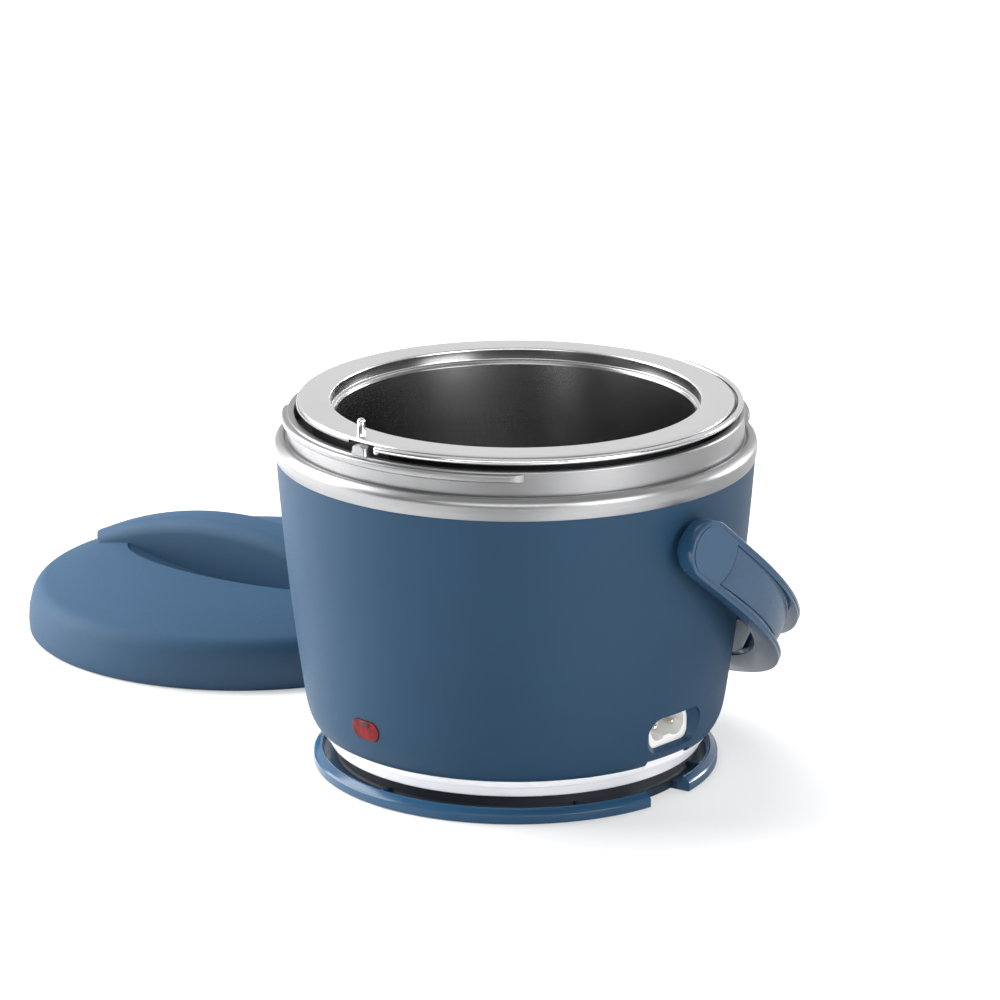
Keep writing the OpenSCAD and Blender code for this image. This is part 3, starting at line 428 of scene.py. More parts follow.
# %% Rounded outlines
def corner_arc(before, corner, after, steps):
    """The arc that rounds one corner, or the bare corner where it has no radius."""
    x, y = corner[:2]
    radius = corner[2] if len(corner) > 2 else 0
    ax, ay = before[0] - x, before[1] - y
    bx, by = after[0] - x, after[1] - y
    la, lb = math.hypot(ax, ay), math.hypot(bx, by)
    if radius <= 0 or la == 0 or lb == 0:
        return [(x, y)]
    ax, ay, bx, by = ax / la, ay / la, bx / lb, by / lb
    half = math.acos(max(-1, min(1, ax * bx + ay * by))) / 2
    reach = min(radius / math.tan(half), 0.48 * la, 0.48 * lb)
    radius = reach * math.tan(half)
    if radius < 0.01:
        return [(x, y)]
    mx, my = ax + bx, ay + by
    lm = math.hypot(mx, my)
    cx = x + mx / lm * radius / math.sin(half)
    cy = y + my / lm * radius / math.sin(half)
    first = math.atan2(y + ay * reach - cy, x + ax * reach - cx)
    last = math.atan2(y + by * reach - cy, x + bx * reach - cx)
    sweep = (last - first + math.pi) % (2 * math.pi) - math.pi
    return [(cx + radius * math.cos(first + sweep * k / steps),
             cy + radius * math.sin(first + sweep * k / steps)) for k in range(steps + 1)]


def rounded(corners, steps=5):
    """An outline with its corners rounded; each corner is (x, y) or (x, y, radius)."""
    line = []
    for i, corner in enumerate(corners):
        line += corner_arc(corners[i - 1], corner, corners[(i + 1) % len(corners)], steps)
    return line


def plate(width, low, high, top_r, low_r, steps=8):
    """A rectangle with one radius for its upper corners and one for its lower."""
    half = width / 2
    return rounded([(half, high, top_r), (-half, high, top_r), (-half, low, low_r),
                    (half, low, low_r)], steps)


def arc(x, y, radius, start, end, steps=10):
    turn = [math.radians(start + (end - start) * k / steps) for k in range(steps + 1)]
    return [(x + radius * math.cos(a), y + radius * math.sin(a)) for a in turn]


# %% [markdown]
# A finished piece is shaded smooth except at its sharp edges, gets its material, rides on one
# body, and may stand in for CAD nodes, which are then hidden.

# %% Settling a finished piece
def settle(piece, smooth_angle, body, slot, material, *nodes):
    pick(piece)
    bpy.ops.object.shade_smooth_by_angle(angle=math.radians(smooth_angle))
    piece.data.materials.clear()
    piece.data.materials.append(material)
    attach(piece, body)
    if nodes:
        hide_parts(*nodes)
    print(piece.name, "faces:", len(piece.data.polygons))


# %% [markdown]
# ## The finishes
# Moulded plastic is never one flat colour. A soft-touch shell has a very fine grain, a slightly
# uneven gloss and a faint change of tone over its surface. The helpers below build each finish
# from noise on object coordinates, so the pattern sits still on its piece when that piece moves.

# %% Grain and tone
COAT_ROUGH, BUMP_HEIGHT = 0.06, 0.05


def new_material(name):
    material = bpy.data.materials.new(name)
    tree = clear_tree(material)
    shader = node(tree, "BsdfPrincipled", {})
    node(tree, "OutputMaterial", {"Surface": shader.outputs[0]})
    return material, tree, shader


def noise(tree, coords, scale, detail=3.0):
    inputs = {"Vector": coords, "Scale": scale, "Detail": detail}
    return node(tree, "TexNoise", inputs).outputs["Fac"]


def spread(tree, value, low, high):
    """Maps a noise value, most of which lies near its middle, onto a range."""
    return map_range(tree, value, 0.3, 0.7, low, high)


def tone(tree, value, color, change):
    """A colour that wanders a little darker and lighter with a value."""
    inputs = {"A": [c * (1 - change) for c in color] + [1],
              "B": [min(1, c * (1 + change)) for c in color] + [1], "Factor": value}
    return node(tree, "Mix", inputs, data_type="RGBA").outputs["Result"]


def bumps(tree, shader, height, strength):
    inputs = {"Strength": strength, "Distance": BUMP_HEIGHT * MM, "Height": height}
    wire(tree, shader, {"Normal": node(tree, "Bump", inputs).outputs["Normal"]})


def axis_distance(tree, coords):
    """How far a point is from the upright axis."""
    flat = node(tree, "VectorMath", {0: coords, 1: (1, 1, 0)}, operation="MULTIPLY")
    length = node(tree, "VectorMath", {0: flat.outputs["Vector"]}, operation="LENGTH")
    return length.outputs["Value"]


# %% Plastic, paint and rubber
def plastic(name, color, rough, grain=0.05, change=0.05, coat=0.0, metal=0.0, grain_scale=2600,
            shine=0.5):
    material, tree, shader = new_material(name)
    coords = object_coords(tree)
    broad = spread(tree, noise(tree, coords, 30), 0, 1)
    fine = noise(tree, coords, grain_scale, 2)
    wire(tree, shader, {"Base Color": tone(tree, broad, color, change),
                        "Roughness": spread(tree, fine, rough * 0.9, rough * 1.1),
                        "Metallic": metal, "Coat Weight": coat, "Coat Roughness": COAT_ROUGH,
                        "Specular IOR Level": shine})
    bumps(tree, shader, fine, grain)
    return material


BODY_BLUE = (0.013, 0.045, 0.090)
HANDLE_BLUE, GRIP_BLUE = (0.018, 0.062, 0.124), (0.018, 0.060, 0.120)
body_finish = plastic("soft_blue", BODY_BLUE, 0.5, 0.05, 0.03, shine=0.24)
lid_finish = plastic("lid_soft_blue", BODY_BLUE, 0.7, 0.05, 0.03)
handle_finish = plastic("handle_blue", HANDLE_BLUE, 0.16, 0.01, 0.03, coat=0.2)
grip_finish = plastic("grip_soft_blue", GRIP_BLUE, 0.3, 0.02, 0.03, shine=0.7)
white_finish = plastic("gloss_white", (0.88, 0.88, 0.91), 0.25, 0.01, 0.01, coat=0.2)
inlet_finish = plastic("inlet_white", (0.80, 0.80, 0.78), 0.42, 0.03, 0.02)
black_finish = plastic("matte_black", (0.012, 0.012, 0.014), 0.5, 0.05, 0.05)
rubber_finish = plastic("foot_rubber", (0.02, 0.02, 0.022), 0.75, 0.12, 0.08)
collar_finish = plastic("satin_silver", (0.36, 0.36, 0.365), 0.34, 0.16, 0.03, metal=0.95,
                        grain_scale=4200)
print("plastics and paints:", len(bpy.data.materials))

# %% [markdown]
# Spun and drawn metal keeps fine circular lines from its tool, so its gloss varies with the
# distance from the axis and with height. On the container a ramp by height paints light and shade
# into the steel's colour: painted shade on the walls, mouth and rim, a painted highlight on the
# ledge.

# %% Turned metal
LINE_SCALE, LINE_DEPTH, METAL_CHANGE = 2500, 0.03, 0.03
# Heights in millimetres and how bright the steel is painted there: painted shade on the walls,
# mouth and rim, a painted highlight on the ledge
STEEL_LIGHT_AND_SHADE = ((118.0, 0.42), (119.5, 0.38), (119.9, 0.9), (120.35, 0.9), (120.6, 0.25),
                 (123.2, 0.25), (123.6, 1.0))


def turned_metal(name, color, rough, light_and_shade=None):
    material, tree, shader = new_material(name)
    coords = object_coords(tree)
    height = node(tree, "SeparateXYZ", {"Vector": coords}).outputs["Z"]
    along = node(tree, "CombineXYZ", {"X": axis_distance(tree, coords), "Y": height})
    lines = noise(tree, along.outputs["Vector"], LINE_SCALE, 4)
    base = tone(tree, spread(tree, noise(tree, coords, 25), 0, 1), color, METAL_CHANGE)
    # Painted light and shade: a ramp by height multiplies the colour, darker for shade and paler
    # for a highlight.
    if light_and_shade:
        low, high = light_and_shade[0][0], light_and_shade[-1][0]
        stops = [((z - low) / (high - low), pale) for z, pale in light_and_shade]
        bands = grey_ramp(tree, map_range(tree, height, low * MM, high * MM), stops)
        base = node(tree, "Mix", {"Factor": 1.0, "A": base, "B": bands}, data_type="RGBA",
                    blend_type="MULTIPLY").outputs["Result"]
    wire(tree, shader, {"Base Color": base, "Metallic": 1.0,
                        "Roughness": spread(tree, lines, rough * 0.88, rough * 1.12)})
    bumps(tree, shader, lines, LINE_DEPTH)
    return material


steel_finish = turned_metal("satin_steel", (0.80, 0.80, 0.80), 0.24, STEEL_LIGHT_AND_SHADE)
bright_steel = turned_metal("bright_wire", (0.78, 0.78, 0.79), 0.15)
well_finish = turned_metal("spun_aluminium", (0.75, 0.76, 0.77), 0.3)
pin_finish = turned_metal("nickel_pins", (0.66, 0.63, 0.56), 0.22)
print("steel bands:", len(STEEL_LIGHT_AND_SHADE))

# %% Gloss of the cord ring, dull in its groove and darkened there with painted shade
GROOVE_SHADE_INNER_R, GROOVE_SHADE_OUTER_R = 59.4, 62.8


def add_ring_finish():
    material, tree, shader = new_material("gloss_blue")
    coords = object_coords(tree)
    distance = axis_distance(tree, coords)

    def across(low, high):
        return map_range(tree, distance, GROOVE_SHADE_INNER_R * MM, GROOVE_SHADE_OUTER_R * MM, low, high)

    # The colour darkens towards the axis across the groove: painted shade under the pan. The gloss
    # is duller there too.
    wire(tree, shader, {"Base Color": tone(tree, across(0, 1), (0.0098, 0.036, 0.073), 0.85),
                        "Roughness": across(0.6, 0.16), "Coat Roughness": COAT_ROUGH})
    bumps(tree, shader, noise(tree, coords, 2600, 2), 0.01)
    return material


ring_finish = add_ring_finish()
print("groove between", GROOVE_SHADE_INNER_R, "and", GROOVE_SHADE_OUTER_R, "mm")

# %% [markdown]
# ## The outer shell
# The real shell is an injection-moulded wall, a little bowed, that curls in at its foot. A lathe
# move gives the wall, because the mould's core and cavity were turned as well. The window for
# the power inlet, the slot for the light and the notch at the foot are cut afterwards.

# %% Shell profile
SHELL_TOP_R, SHELL_FOOT_Z, SHELL_TOP_Z, SHELL_WALL = 78.4, 14.0, 105.0, 2.4
SHELL_LEAN, SHELL_BOW, FOOT_CURL, FOOT_CURL_H = 0.068, 0.0005, 2.2, 12
FOOT_EDGE = 0.35


def shell_r(z):
    """Outside radius of the shell at a height."""
    down = SHELL_TOP_Z - z
    foot = max(0.0, (SHELL_FOOT_Z + FOOT_CURL_H - z) / FOOT_CURL_H)
    return SHELL_TOP_R - SHELL_LEAN * down - SHELL_BOW * down * down - FOOT_CURL * foot ** 3.5


def wall_heights(count):
    return [SHELL_FOOT_Z + (SHELL_TOP_Z - SHELL_FOOT_Z) * i / count for i in range(count + 1)]


def add_shell():
    outside = [(shell_r(z), z) for z in wall_heights(44)]
    inside = [(shell_r(z) - SHELL_WALL, z) for z in reversed(wall_heights(22))]
    outside[0] = (shell_r(SHELL_FOOT_Z) - FOOT_EDGE, SHELL_FOOT_Z)
    outside.insert(1, (shell_r(SHELL_FOOT_Z + FOOT_EDGE), SHELL_FOOT_Z + FOOT_EDGE))
    return lathe("outer_shell_wall", outside + inside, steps=256)


shell = add_shell()
print("shell radius at foot and top:", round(shell_r(SHELL_FOOT_Z), 2), shell_r(SHELL_TOP_Z))

# %% [markdown]
# The inlet sits in a window whose sides slope inwards. The cutter is a plug drawn by hand: the
# window's outline is extruded, made smaller along the slope, and extruded again. A thick rim
# behind the window gives the slope something to be cut from.

# %% Window of the inlet
INLET_TURN = 2.0
WINDOW_W, WINDOW_H, WINDOW_Z = 25.8, 12.6, 24.8
WINDOW_BACK_W, WINDOW_STEP, WINDOW_RIM = 19.4, 1.2, 1.6
WINDOW_LOW, WINDOW_HIGH = WINDOW_Z - WINDOW_H / 2, WINDOW_Z + WINDOW_H / 2
FACE_X = shell_r(WINDOW_Z) - 4.0


def recess_cutter():
    """A plug that narrows from the window's size to the size of the inlet's face."""
    mouth_x = math.sqrt(shell_r(WINDOW_Z) ** 2 - WINDOW_W ** 2 / 4)
    outline = [(80, y, z) for y, z in plate(WINDOW_W, WINDOW_LOW, WINDOW_HIGH, 5.6, 4.0)]
    inward = turned([(1, 0, 0)], INLET_TURN)[0]
    plug = fill_outline("recess_cutter", turned(outline, INLET_TURN))
    back_x = FACE_X + 0.4
    for from_x, to_x, narrow in ((80, mouth_x, False), (mouth_x, back_x, True),
                                 (back_x, 60, False)):
        way = [c * (to_x - from_x) * MM for c in inward]
        bpy.ops.mesh.extrude_region_move(TRANSFORM_OT_translate={"value": way})
        if narrow:
            side = turned([(to_x, 0, 0)], INLET_TURN)[0]
            smaller = (1, WINDOW_BACK_W / WINDOW_W, (WINDOW_H - WINDOW_STEP) / WINDOW_H)
            bpy.ops.transform.resize(value=smaller, center_override=(
                side[0] * MM, side[1] * MM, WINDOW_HIGH * MM))
    close_up()
    bpy.ops.object.mode_set(mode="OBJECT")
    return plug


def recess_wall():
    """The thick rim behind the window, trimmed to the shell's curve."""
    outline = [(FACE_X + 0.2, y, z) for y, z in plate(WINDOW_W + 2 * WINDOW_RIM,
                                                      WINDOW_LOW - WINDOW_RIM,
                                                      WINDOW_HIGH + WINDOW_RIM, 7.2, 5.6)]
    wall = block("recess_wall", turned(outline, INLET_TURN), turned([(14, 0, 0)], INLET_TURN)[0])
    inside = [(shell_r(z) - 1, z) for z in wall_heights(22)]
    fill = lathe("shell_fill", [(0, SHELL_FOOT_Z)] + inside + [(0, SHELL_TOP_Z)], closed=False)
    return combine(wall, fill, "INTERSECT")


combine(shell, recess_wall(), "UNION")
combine(shell, recess_cutter())
print("inlet face at x", round(FACE_X, 2))

# %% Light slot, foot notch and pivot hubs
LIGHT_Z, LIGHT_W, LIGHT_H, LENS_SEAT = 26.4, 12.0, 7.0, 1.2
PIVOT_Z, HUB_R, HUB_L, HUB_X = 89.7, 6.4, 8.6, 75.6


def stadium_plug(name, w, h, y_from, y_to):
    end_r = h / 2 - 0.01
    outline = [(x, y_from, LIGHT_Z + z) for x, z in plate(w, -h / 2, h / 2, end_r, end_r, 10)]
    return block(name, outline, (0, y_to - y_from, 0))


def foot_notch(half_w, depth):
    height = (SHELL_FOOT_Z - 1, SHELL_FOOT_Z + depth)
    return brick("foot_notch", (58, 72), (-half_w, half_w), height, INLET_TURN)


combine(shell, stadium_plug("light_slot", LIGHT_W, LIGHT_H, -85, -60))
combine(shell, foot_notch(10.4, 2.0))
for side in (-1, 1):
    hub = cylinder("pivot_hub", (side * HUB_X, 0, PIVOT_Z), HUB_R, HUB_L, 64, ALONG_X)
    combine(shell, soften(hub, 0.5, 3, 60), "UNION")
settle(shell, 30, "base", "body_blue", body_finish, "outer_shell")

# %% [markdown]
# ## The silver collar
# The collar is one turned-looking ring: a rounded shoulder above the shell, then a straight neck
# with two lugs that the lid's own lugs slide under. It is lathed from one outline, and the lugs
# are short turns of their own, joined on.

# %% Collar
NECK_R, NECK_TOP_Z, NECK_Z, NECK_WALL = 74.8, 120.0, 112.1, 2.6
LUG_SPAN, LUG_RUN_OUT, LUG_OUT, LUG_H = 98, 3.2, 1.6, 2.8


def add_collar():
    inner_r = NECK_R - NECK_WALL
    outline = [(73.2, 99.0), (75.4, 99.0), (75.6, 104.95), (78.5, 104.95, 0.3),
               (78.95, 107.2, 2.6), (79.0, 110.2, 3.0), (77.3, NECK_Z, 2.4),
               (NECK_R + 1.1, NECK_Z, 0.5), (NECK_R + 0.55, NECK_Z - 0.75, 0.3),
               (NECK_R, NECK_Z - 0.7, 0.1), (NECK_R, NECK_TOP_Z, 0.7),
               (inner_r, NECK_TOP_Z, 0.5), (inner_r, NECK_Z), (66.5, NECK_Z),
               (66.5, NECK_Z - 2), (73.2, NECK_Z - 2)]
    return lathe("collar_ring", rounded(outline, 6), steps=256)


def add_lug(start):
    """A lug whose two ends run out into the neck."""
    top = NECK_TOP_Z - 0.7
    outline = [(NECK_R - 1, top - LUG_H), (NECK_R + 0.2, top - LUG_H),
               (NECK_R + LUG_OUT, top - 2.2, 0.5), (NECK_R + LUG_OUT, top, 0.7), (NECK_R - 1, top)]
    lug = lathe("lug", rounded(outline, 4), steps=LUG_SPAN, turn=LUG_SPAN, start=start)
    for vertex in lug.data.vertices:
        x, y, z = vertex.co
        along = (math.degrees(math.atan2(y, x)) - start) % 360
        fade = min(1, max(0, min(along, LUG_SPAN - along) / LUG_RUN_OUT)) ** 0.5
        r = math.hypot(x, y)
        new_r = min(r, (NECK_R - 0.4 + 2.0 * fade) * MM)
        vertex.co = (x * new_r / r, y * new_r / r, z)
    return lug


collar = join(add_collar(), add_lug(-142), add_lug(38))
settle(collar, 35, "base", "satin_silver", collar_finish, "collar")

# %% Post on the neck
POST_R, POST_X, POST_LIMIT_R = 3.3, 2.6, NECK_R + 0.3


def add_post():
    """A low round post whose outer side follows the neck."""
    outline = rounded([(0, 120.0), (POST_R, 120.0), (2.6, 123.0, 0.8), (0, 123.0)], 4)
    post = lathe("rim_post", outline, steps=40, closed=False)
    for vertex in post.data.vertices:
        vertex.co.x += POST_X * MM
        vertex.co.y -= (NECK_R - 1.3) * MM
        r = math.hypot(vertex.co.x, vertex.co.y)
        if r > POST_LIMIT_R * MM:
            k = POST_LIMIT_R * MM / r
            vertex.co.x, vertex.co.y = vertex.co.x * k, vertex.co.y * k
    return post


settle(add_post(), 40, "base", "satin_silver", collar_finish, "neck_post")

# %% [markdown]
# ## The white pan and the cord-wrap ring
# Below the blue wall a white pan shows as a narrow band with one step in it. Under that, a
# glossy ring with an upturned lip holds the wound cord. The ring has a gap under the inlet, where
# the cord leaves, and low ribs across its groove.

# %% Pan
SCREW_CIRCLE_R, SCREW_HOLE_R = 53.0, 1.8


def screw_places():
    angles = [math.radians(a) for a in (45, 135, 225, 315)]
    return [(SCREW_CIRCLE_R * math.cos(a), SCREW_CIRCLE_R * math.sin(a)) for a in angles]


def add_pan():
    outline = [(0.0, 7.4), (61.2, 7.4, 0.6), (61.75, 7.9, 0.3), (63.2, 11.2, 0.5),
               (63.9, 11.35, 0.4), (65.05, 13.6, 0.4), (64.8, 14.0), (63.0, 14.0),
               (63.0, 17.6, 0.3), (61.2, 17.6, 0.3), (61.2, 9.8), (0.0, 9.8)]
    pan = lathe("base_pan_dish", rounded(outline, 4), steps=224, closed=False)
    for place in screw_places():
        combine(pan, tube_z("screw_hole", place, 6, 11, SCREW_HOLE_R))
    return pan


def add_tab():
    """The tab that fills the shell's notch under the inlet."""
    limit = [(62.0, 13.0), (65.0, 13.0), (65.35, 18.0), (62.0, 18.0)]
    return combine(foot_notch(10.0, 1.6), lathe("tab_limit", limit, steps=224), "INTERSECT")


pedestal = brick("pedestal", (54.7, 59.7), (-9, 9), (9.4, 17.9), INLET_TURN)
settle(join(add_pan(), add_tab(), pedestal), 30, "base", "white_plastic", white_finish, "base_pan")

# %% Cord ring
FOOT_CIRCLE_R, FOOT_SEAT_R = 50.1, 5.1
GAP_SPAN, GAP_START = 17, -7.5


def add_ring():
    outline = [(0.0, 0.0), (67.15, 0.0, 0.5), (67.17, 2.9, 0.35), (66.7, 3.5, 0.4),
               (64.9, 4.8, 0.35), (64.2, 4.85, 0.4), (63.85, 4.2, 0.4), (63.85, 2.6, 0.5),
               (59.6, 2.6, 0.3), (58.9, 3.2, 0.3), (58.6, 7.2), (56.6, 7.2), (56.6, 2.4),
               (0.0, 2.4)]
    ring = lathe("cord_ring", rounded(outline, 4), steps=224, closed=False)
    gap = [(60.0, -1), (75, -1), (75, 7), (60.0, 7)]
    combine(ring, lathe("cord_gap", gap, steps=2 * GAP_SPAN, turn=GAP_SPAN,
                        start=INLET_TURN + GAP_START))
    for place in screw_places():
        combine(ring, tube_z("boss", place, 1.0, 7.4, 4.2), "UNION")
        combine(ring, tube_z("screw_head_seat", place, -1, 3.4, 3.4))
        combine(ring, tube_z("screw_hole", place, -1, 8, SCREW_HOLE_R))
    for place in ((FOOT_CIRCLE_R, 0), (0, FOOT_CIRCLE_R), (-FOOT_CIRCLE_R, 0), (0, -FOOT_CIRCLE_R)):
        combine(ring, tube_z("foot_seat", place, -1, 1.2, FOOT_SEAT_R))
    return ring


def add_groove_rib(angle):
    outline = [(58.2, -0.7, 2.2), (58.2, 0.7, 2.2), (58.2, 0.55, 4.0), (58.2, -0.55, 4.0)]
    return block("rib", turned(outline, angle - 90), turned([(6.2, 0, 0)], angle - 90)[0])


groove_ribs = [add_groove_rib(angle) for angle in (0, 63, 117, 180, 243, 297)]
ring = join(add_ring(), *groove_ribs)
settle(ring, 30, "base", "gloss_blue", ring_finish, "cord_wrap_base")

# %% [markdown]
# ## The food container
# The container is deep-drawn from one disc of stainless steel. Its flange is flat and bright,
# its edge turns down, and a small ledge under the mouth lets a cover rest inside. The outline
# below is the drawn sheet cut through its middle. Notches in the rim clear the post and bail.

# %% Container outline
MOUTH_R, FLANGE_R, FLANGE_Z, SHEET = 60.5, 71.7, 124.2, 0.8
BOWL_FLOOR_Z, BOWL_FOOT_R, BOWL_CORNER_R = 48.2, 54.1, 8.0
LEDGE_Z, LEDGE_W, RIM_DEPTH = 120.2, 1.8, 2.0
WALL_TOP_Z, WALL_TOP_R = LEDGE_Z - 1.3, MOUTH_R - LEDGE_W
WALL_LEAN = (WALL_TOP_R - BOWL_FOOT_R) / (WALL_TOP_Z - BOWL_FLOOR_Z)
CORNER_X = BOWL_FOOT_R + WALL_LEAN * BOWL_CORNER_R - BOWL_CORNER_R
CORNER_Z = BOWL_FLOOR_Z + BOWL_CORNER_R


def bowl_inside():
    line = [(0.0, BOWL_FLOOR_Z), (20.0, BOWL_FLOOR_Z), (40.0, BOWL_FLOOR_Z)]
    line += arc(CORNER_X, CORNER_Z, BOWL_CORNER_R, -90, 0, 14)
    line += [(CORNER_X + BOWL_CORNER_R + WALL_LEAN * (z - CORNER_Z), z) for z in (70, 85, 100, 112)]
    line += rounded([(WALL_TOP_R - 0.02, WALL_TOP_Z - 1), (WALL_TOP_R, WALL_TOP_Z, 0.5),
                     (WALL_TOP_R + 0.6, LEDGE_Z - 0.25, 0.3), (MOUTH_R - 0.3, LEDGE_Z + 0.05, 0.35),
                     (MOUTH_R, LEDGE_Z + 1)], 4)[1:-1]
    return line + arc(MOUTH_R + 0.9, FLANGE_Z - 0.9, 0.9, 180, 90, 8)


def flange_edge():
    line = [(66.0, FLANGE_Z), (FLANGE_R - 3.0, FLANGE_Z)]
    line += arc(FLANGE_R - 1.8, FLANGE_Z - 1.8, 1.8, 88, 0, 12)
    return line + [(FLANGE_R, FLANGE_Z - RIM_DEPTH), (FLANGE_R - SHEET, FLANGE_Z - RIM_DEPTH),
                   (FLANGE_R - SHEET, FLANGE_Z - 1.2), (FLANGE_R - 1.2, FLANGE_Z - SHEET)]


def bowl_outside():
    under_z = FLANGE_Z - SHEET
    line = [(MOUTH_R + SHEET + 0.6, under_z), (MOUTH_R + SHEET, under_z - 0.6),
            (MOUTH_R + SHEET - 0.1, LEDGE_Z - SHEET + 0.6),
            (WALL_TOP_R + SHEET + 0.3, LEDGE_Z - SHEET - 0.5),
            (WALL_TOP_R + SHEET, WALL_TOP_Z - 0.6)]
    line += arc(CORNER_X, CORNER_Z, BOWL_CORNER_R + SHEET, 0, -90, 10)
    return line + [(0.0, BOWL_FLOOR_Z - SHEET)]


# %% Container and the notches in its rim
def rim_notch(x, y):
    return brick("rim_notch", x, y, (FLANGE_Z - RIM_DEPTH - 0.6, FLANGE_Z - SHEET - 0.2))


container = lathe("container_pressing", bowl_inside() + flange_edge() + bowl_outside(), steps=256,
                  closed=False)
combine(container, rim_notch((-5.0, 11.2), (-FLANGE_R - 1, -FLANGE_R + 3)))
combine(container, rim_notch((7.0, 11.2), (FLANGE_R - 3, FLANGE_R + 1)))
settle(container, 32, "container", "steel_sheet", steel_finish, "food_container")

# %% [markdown]
# ## The bail and its pin
# A thin wire bail lies round the flange and lifts the hot container out. The wire is one round
# bar, so a circle is swept round half a turn and its two ends are bent inwards to the ears. A
# small pin on the flange shows the cook which way round the container goes.

# %% Bail
BAIL_R, BAIL_Z, BAIL_RISE, WIRE_R, BAIL_SIDE = 73.3, 121.9, 0.9, 1.0, 8.8
LEG_END_Y, WIRE_SIDES = 67.4, 20


def wire_ball(y, z):
    bpy.ops.mesh.primitive_uv_sphere_add(segments=WIRE_SIDES, ring_count=12,
                                         radius=(WIRE_R + 0.05) * MM,
                                         location=(BAIL_SIDE * MM, y * MM, z * MM))
    return set_place(bpy.context.object)


def wire_bar(y, z, length, turn=(0, 0, 0)):
    return cylinder("bar", (BAIL_SIDE, y, z), WIRE_R, length, WIRE_SIDES, turn)


def add_wire(start, height):
    """The wire's circle, swept round from one crank to the other."""
    a = start - math.pi / 2
    place = (BAIL_R * math.cos(a) * MM, BAIL_R * math.sin(a) * MM, height * MM)
    bpy.ops.object.select_all(action="DESELECT")
    bpy.ops.mesh.primitive_circle_add(vertices=WIRE_SIDES, radius=WIRE_R * MM, location=place,
                                      rotation=(math.pi / 2, 0, a))
    wire_loop = set_place(bpy.context.object)
    wire_loop.name = wire_loop.data.name = "bail_wire"
    bpy.ops.object.mode_set(mode="EDIT")
    spin_round(150, math.pi - 2 * start)
    bpy.ops.object.mode_set(mode="OBJECT")
    return wire_loop


def add_bail():
    start = math.asin(BAIL_SIDE / BAIL_R)
    end_y = BAIL_R * math.cos(start)
    top_z = BAIL_Z + BAIL_RISE
    ends = []
    for side in (-1, 1):
        ends += [wire_ball(side * end_y, top_z),
                 wire_bar(side * end_y, BAIL_Z + BAIL_RISE / 2, BAIL_RISE),
                 wire_ball(side * end_y, BAIL_Z),
                 wire_bar(side * (end_y + LEG_END_Y) / 2, BAIL_Z, end_y - LEG_END_Y, ALONG_Y)]
    return join(add_wire(start, top_z), *ends)


settle(add_bail(), 60, "bail", "steel_wire", bright_steel, "container_bail")

# %% Pin on the flange
PIN_X, PIN_Y, PIN_R, PIN_H = -2.2, -68.6, 1.3, 6.0


def add_pin():
    outline = [(0.0, 0.0), (PIN_R + 0.25, 0.0), (PIN_R, 0.3)]
    outline += arc(0, PIN_H - PIN_R, PIN_R, 0, 90, 8)
    return moved(lathe("flange_pin", outline, steps=32, closed=False), PIN_X, PIN_Y, FLANGE_Z)


settle(add_pin(), 40, "container", "bright_pin", bright_steel, "locating_pin")

# %% [markdown]
# ## The black trim ring
# Between the steel flange and the silver neck a moulded ring seals the heating well, and the
# container's flange rests on it. Its black is painted shade for the dark gap there, a thin black
# line.

# %% Trim ring
TRIM_OUTLINE = [(61.3, 112.1), (72.0, 112.1, 0.3), (72.0, 114.1, 0.3), (66.5, 114.1, 0.5),
                (66.5, 123.2, 0.6), (63.1, 123.2, 0.6), (63.1, 114.1, 0.3), (61.3, 114.1, 0.3)]
trim = lathe("well_seal_and_shade_ring", rounded(TRIM_OUTLINE, 4))
# The ring is black: painted shade for the dark gap between flange and neck.
settle(trim, 35, "base", "black_plastic", black_finish, "well_trim")

# %% [markdown]
# ## The power light
# The power light is a clear red moulding behind a slot in the shell. Its face follows the wall,
# so it is cut from a turned skin. Inside such a lens the colour is never even. Over the lamp a
# black block stands for the dark gap: painted shade.

# %% Lens
def add_lens_finish():
    material, tree, shader = new_material("red_lens")
    coords = object_coords(tree)
    fine = noise(tree, coords, 900, 2)
    cloud = spread(tree, noise(tree, coords, 380), 0, 1)
    wire(tree, shader, {"Base Color": tone(tree, cloud, (0.13, 0.002, 0.004), 0.6),
                        "Roughness": spread(tree, fine, 0.08, 0.14), "Coat Weight": 0.05,
                        "Specular IOR Level": 0.2})
    bumps(tree, shader, fine, 0.03)
    return material


def add_lens():
    front = stadium_plug("lens_face", LIGHT_W - 0.3, LIGHT_H - 0.3, -84, -67.4)
    flange_y = shell_r(LIGHT_Z) - SHELL_WALL - LENS_SEAT
    flange = stadium_plug("lens_flange", LIGHT_W + 3.2, LIGHT_H + 3.2, -flange_y, 1.2 - flange_y)
    wall = [(shell_r(z) + 0.3, z) for z in range(15, 41)]
    combine(front, lathe("lens_skin", [(40, 15)] + wall + [(40, 40)], steps=256), "INTERSECT")
    return join(soften(front, 0.45, 3, 40), flange)


settle(add_lens(), 35, "base", "red_lens", add_lens_finish(), "power_light_lens")

# %% Painted shade: a black block for the gap over the lamp
SLOT_LOW, SLOT_HIGH, SLOT_HALF_W = LIGHT_Z + 1.5, LIGHT_Z + LIGHT_H / 2 - 0.5, 1.9
slot_y = -shell_r(SLOT_HIGH) - 0.34
# The block is black and just proud of the lens face: painted shade for the gap.
lens_gap_shade = brick("lens_gap_shade", (-SLOT_HALF_W, SLOT_HALF_W), (slot_y, slot_y + 3.0),
                  (SLOT_LOW, SLOT_HIGH))
settle(soften(lens_gap_shade, 0.15, 2, 40), 35, "base", "black_plastic", black_finish)

# %% [markdown]
# ## The inlet
# The inlet is a white block with a figure-of-eight socket and two pins, set back in its window.
# Two round bores and a flat-sided cut between them make the eight. The pins are lathed, each
# with a flat tab at its back for the wires.

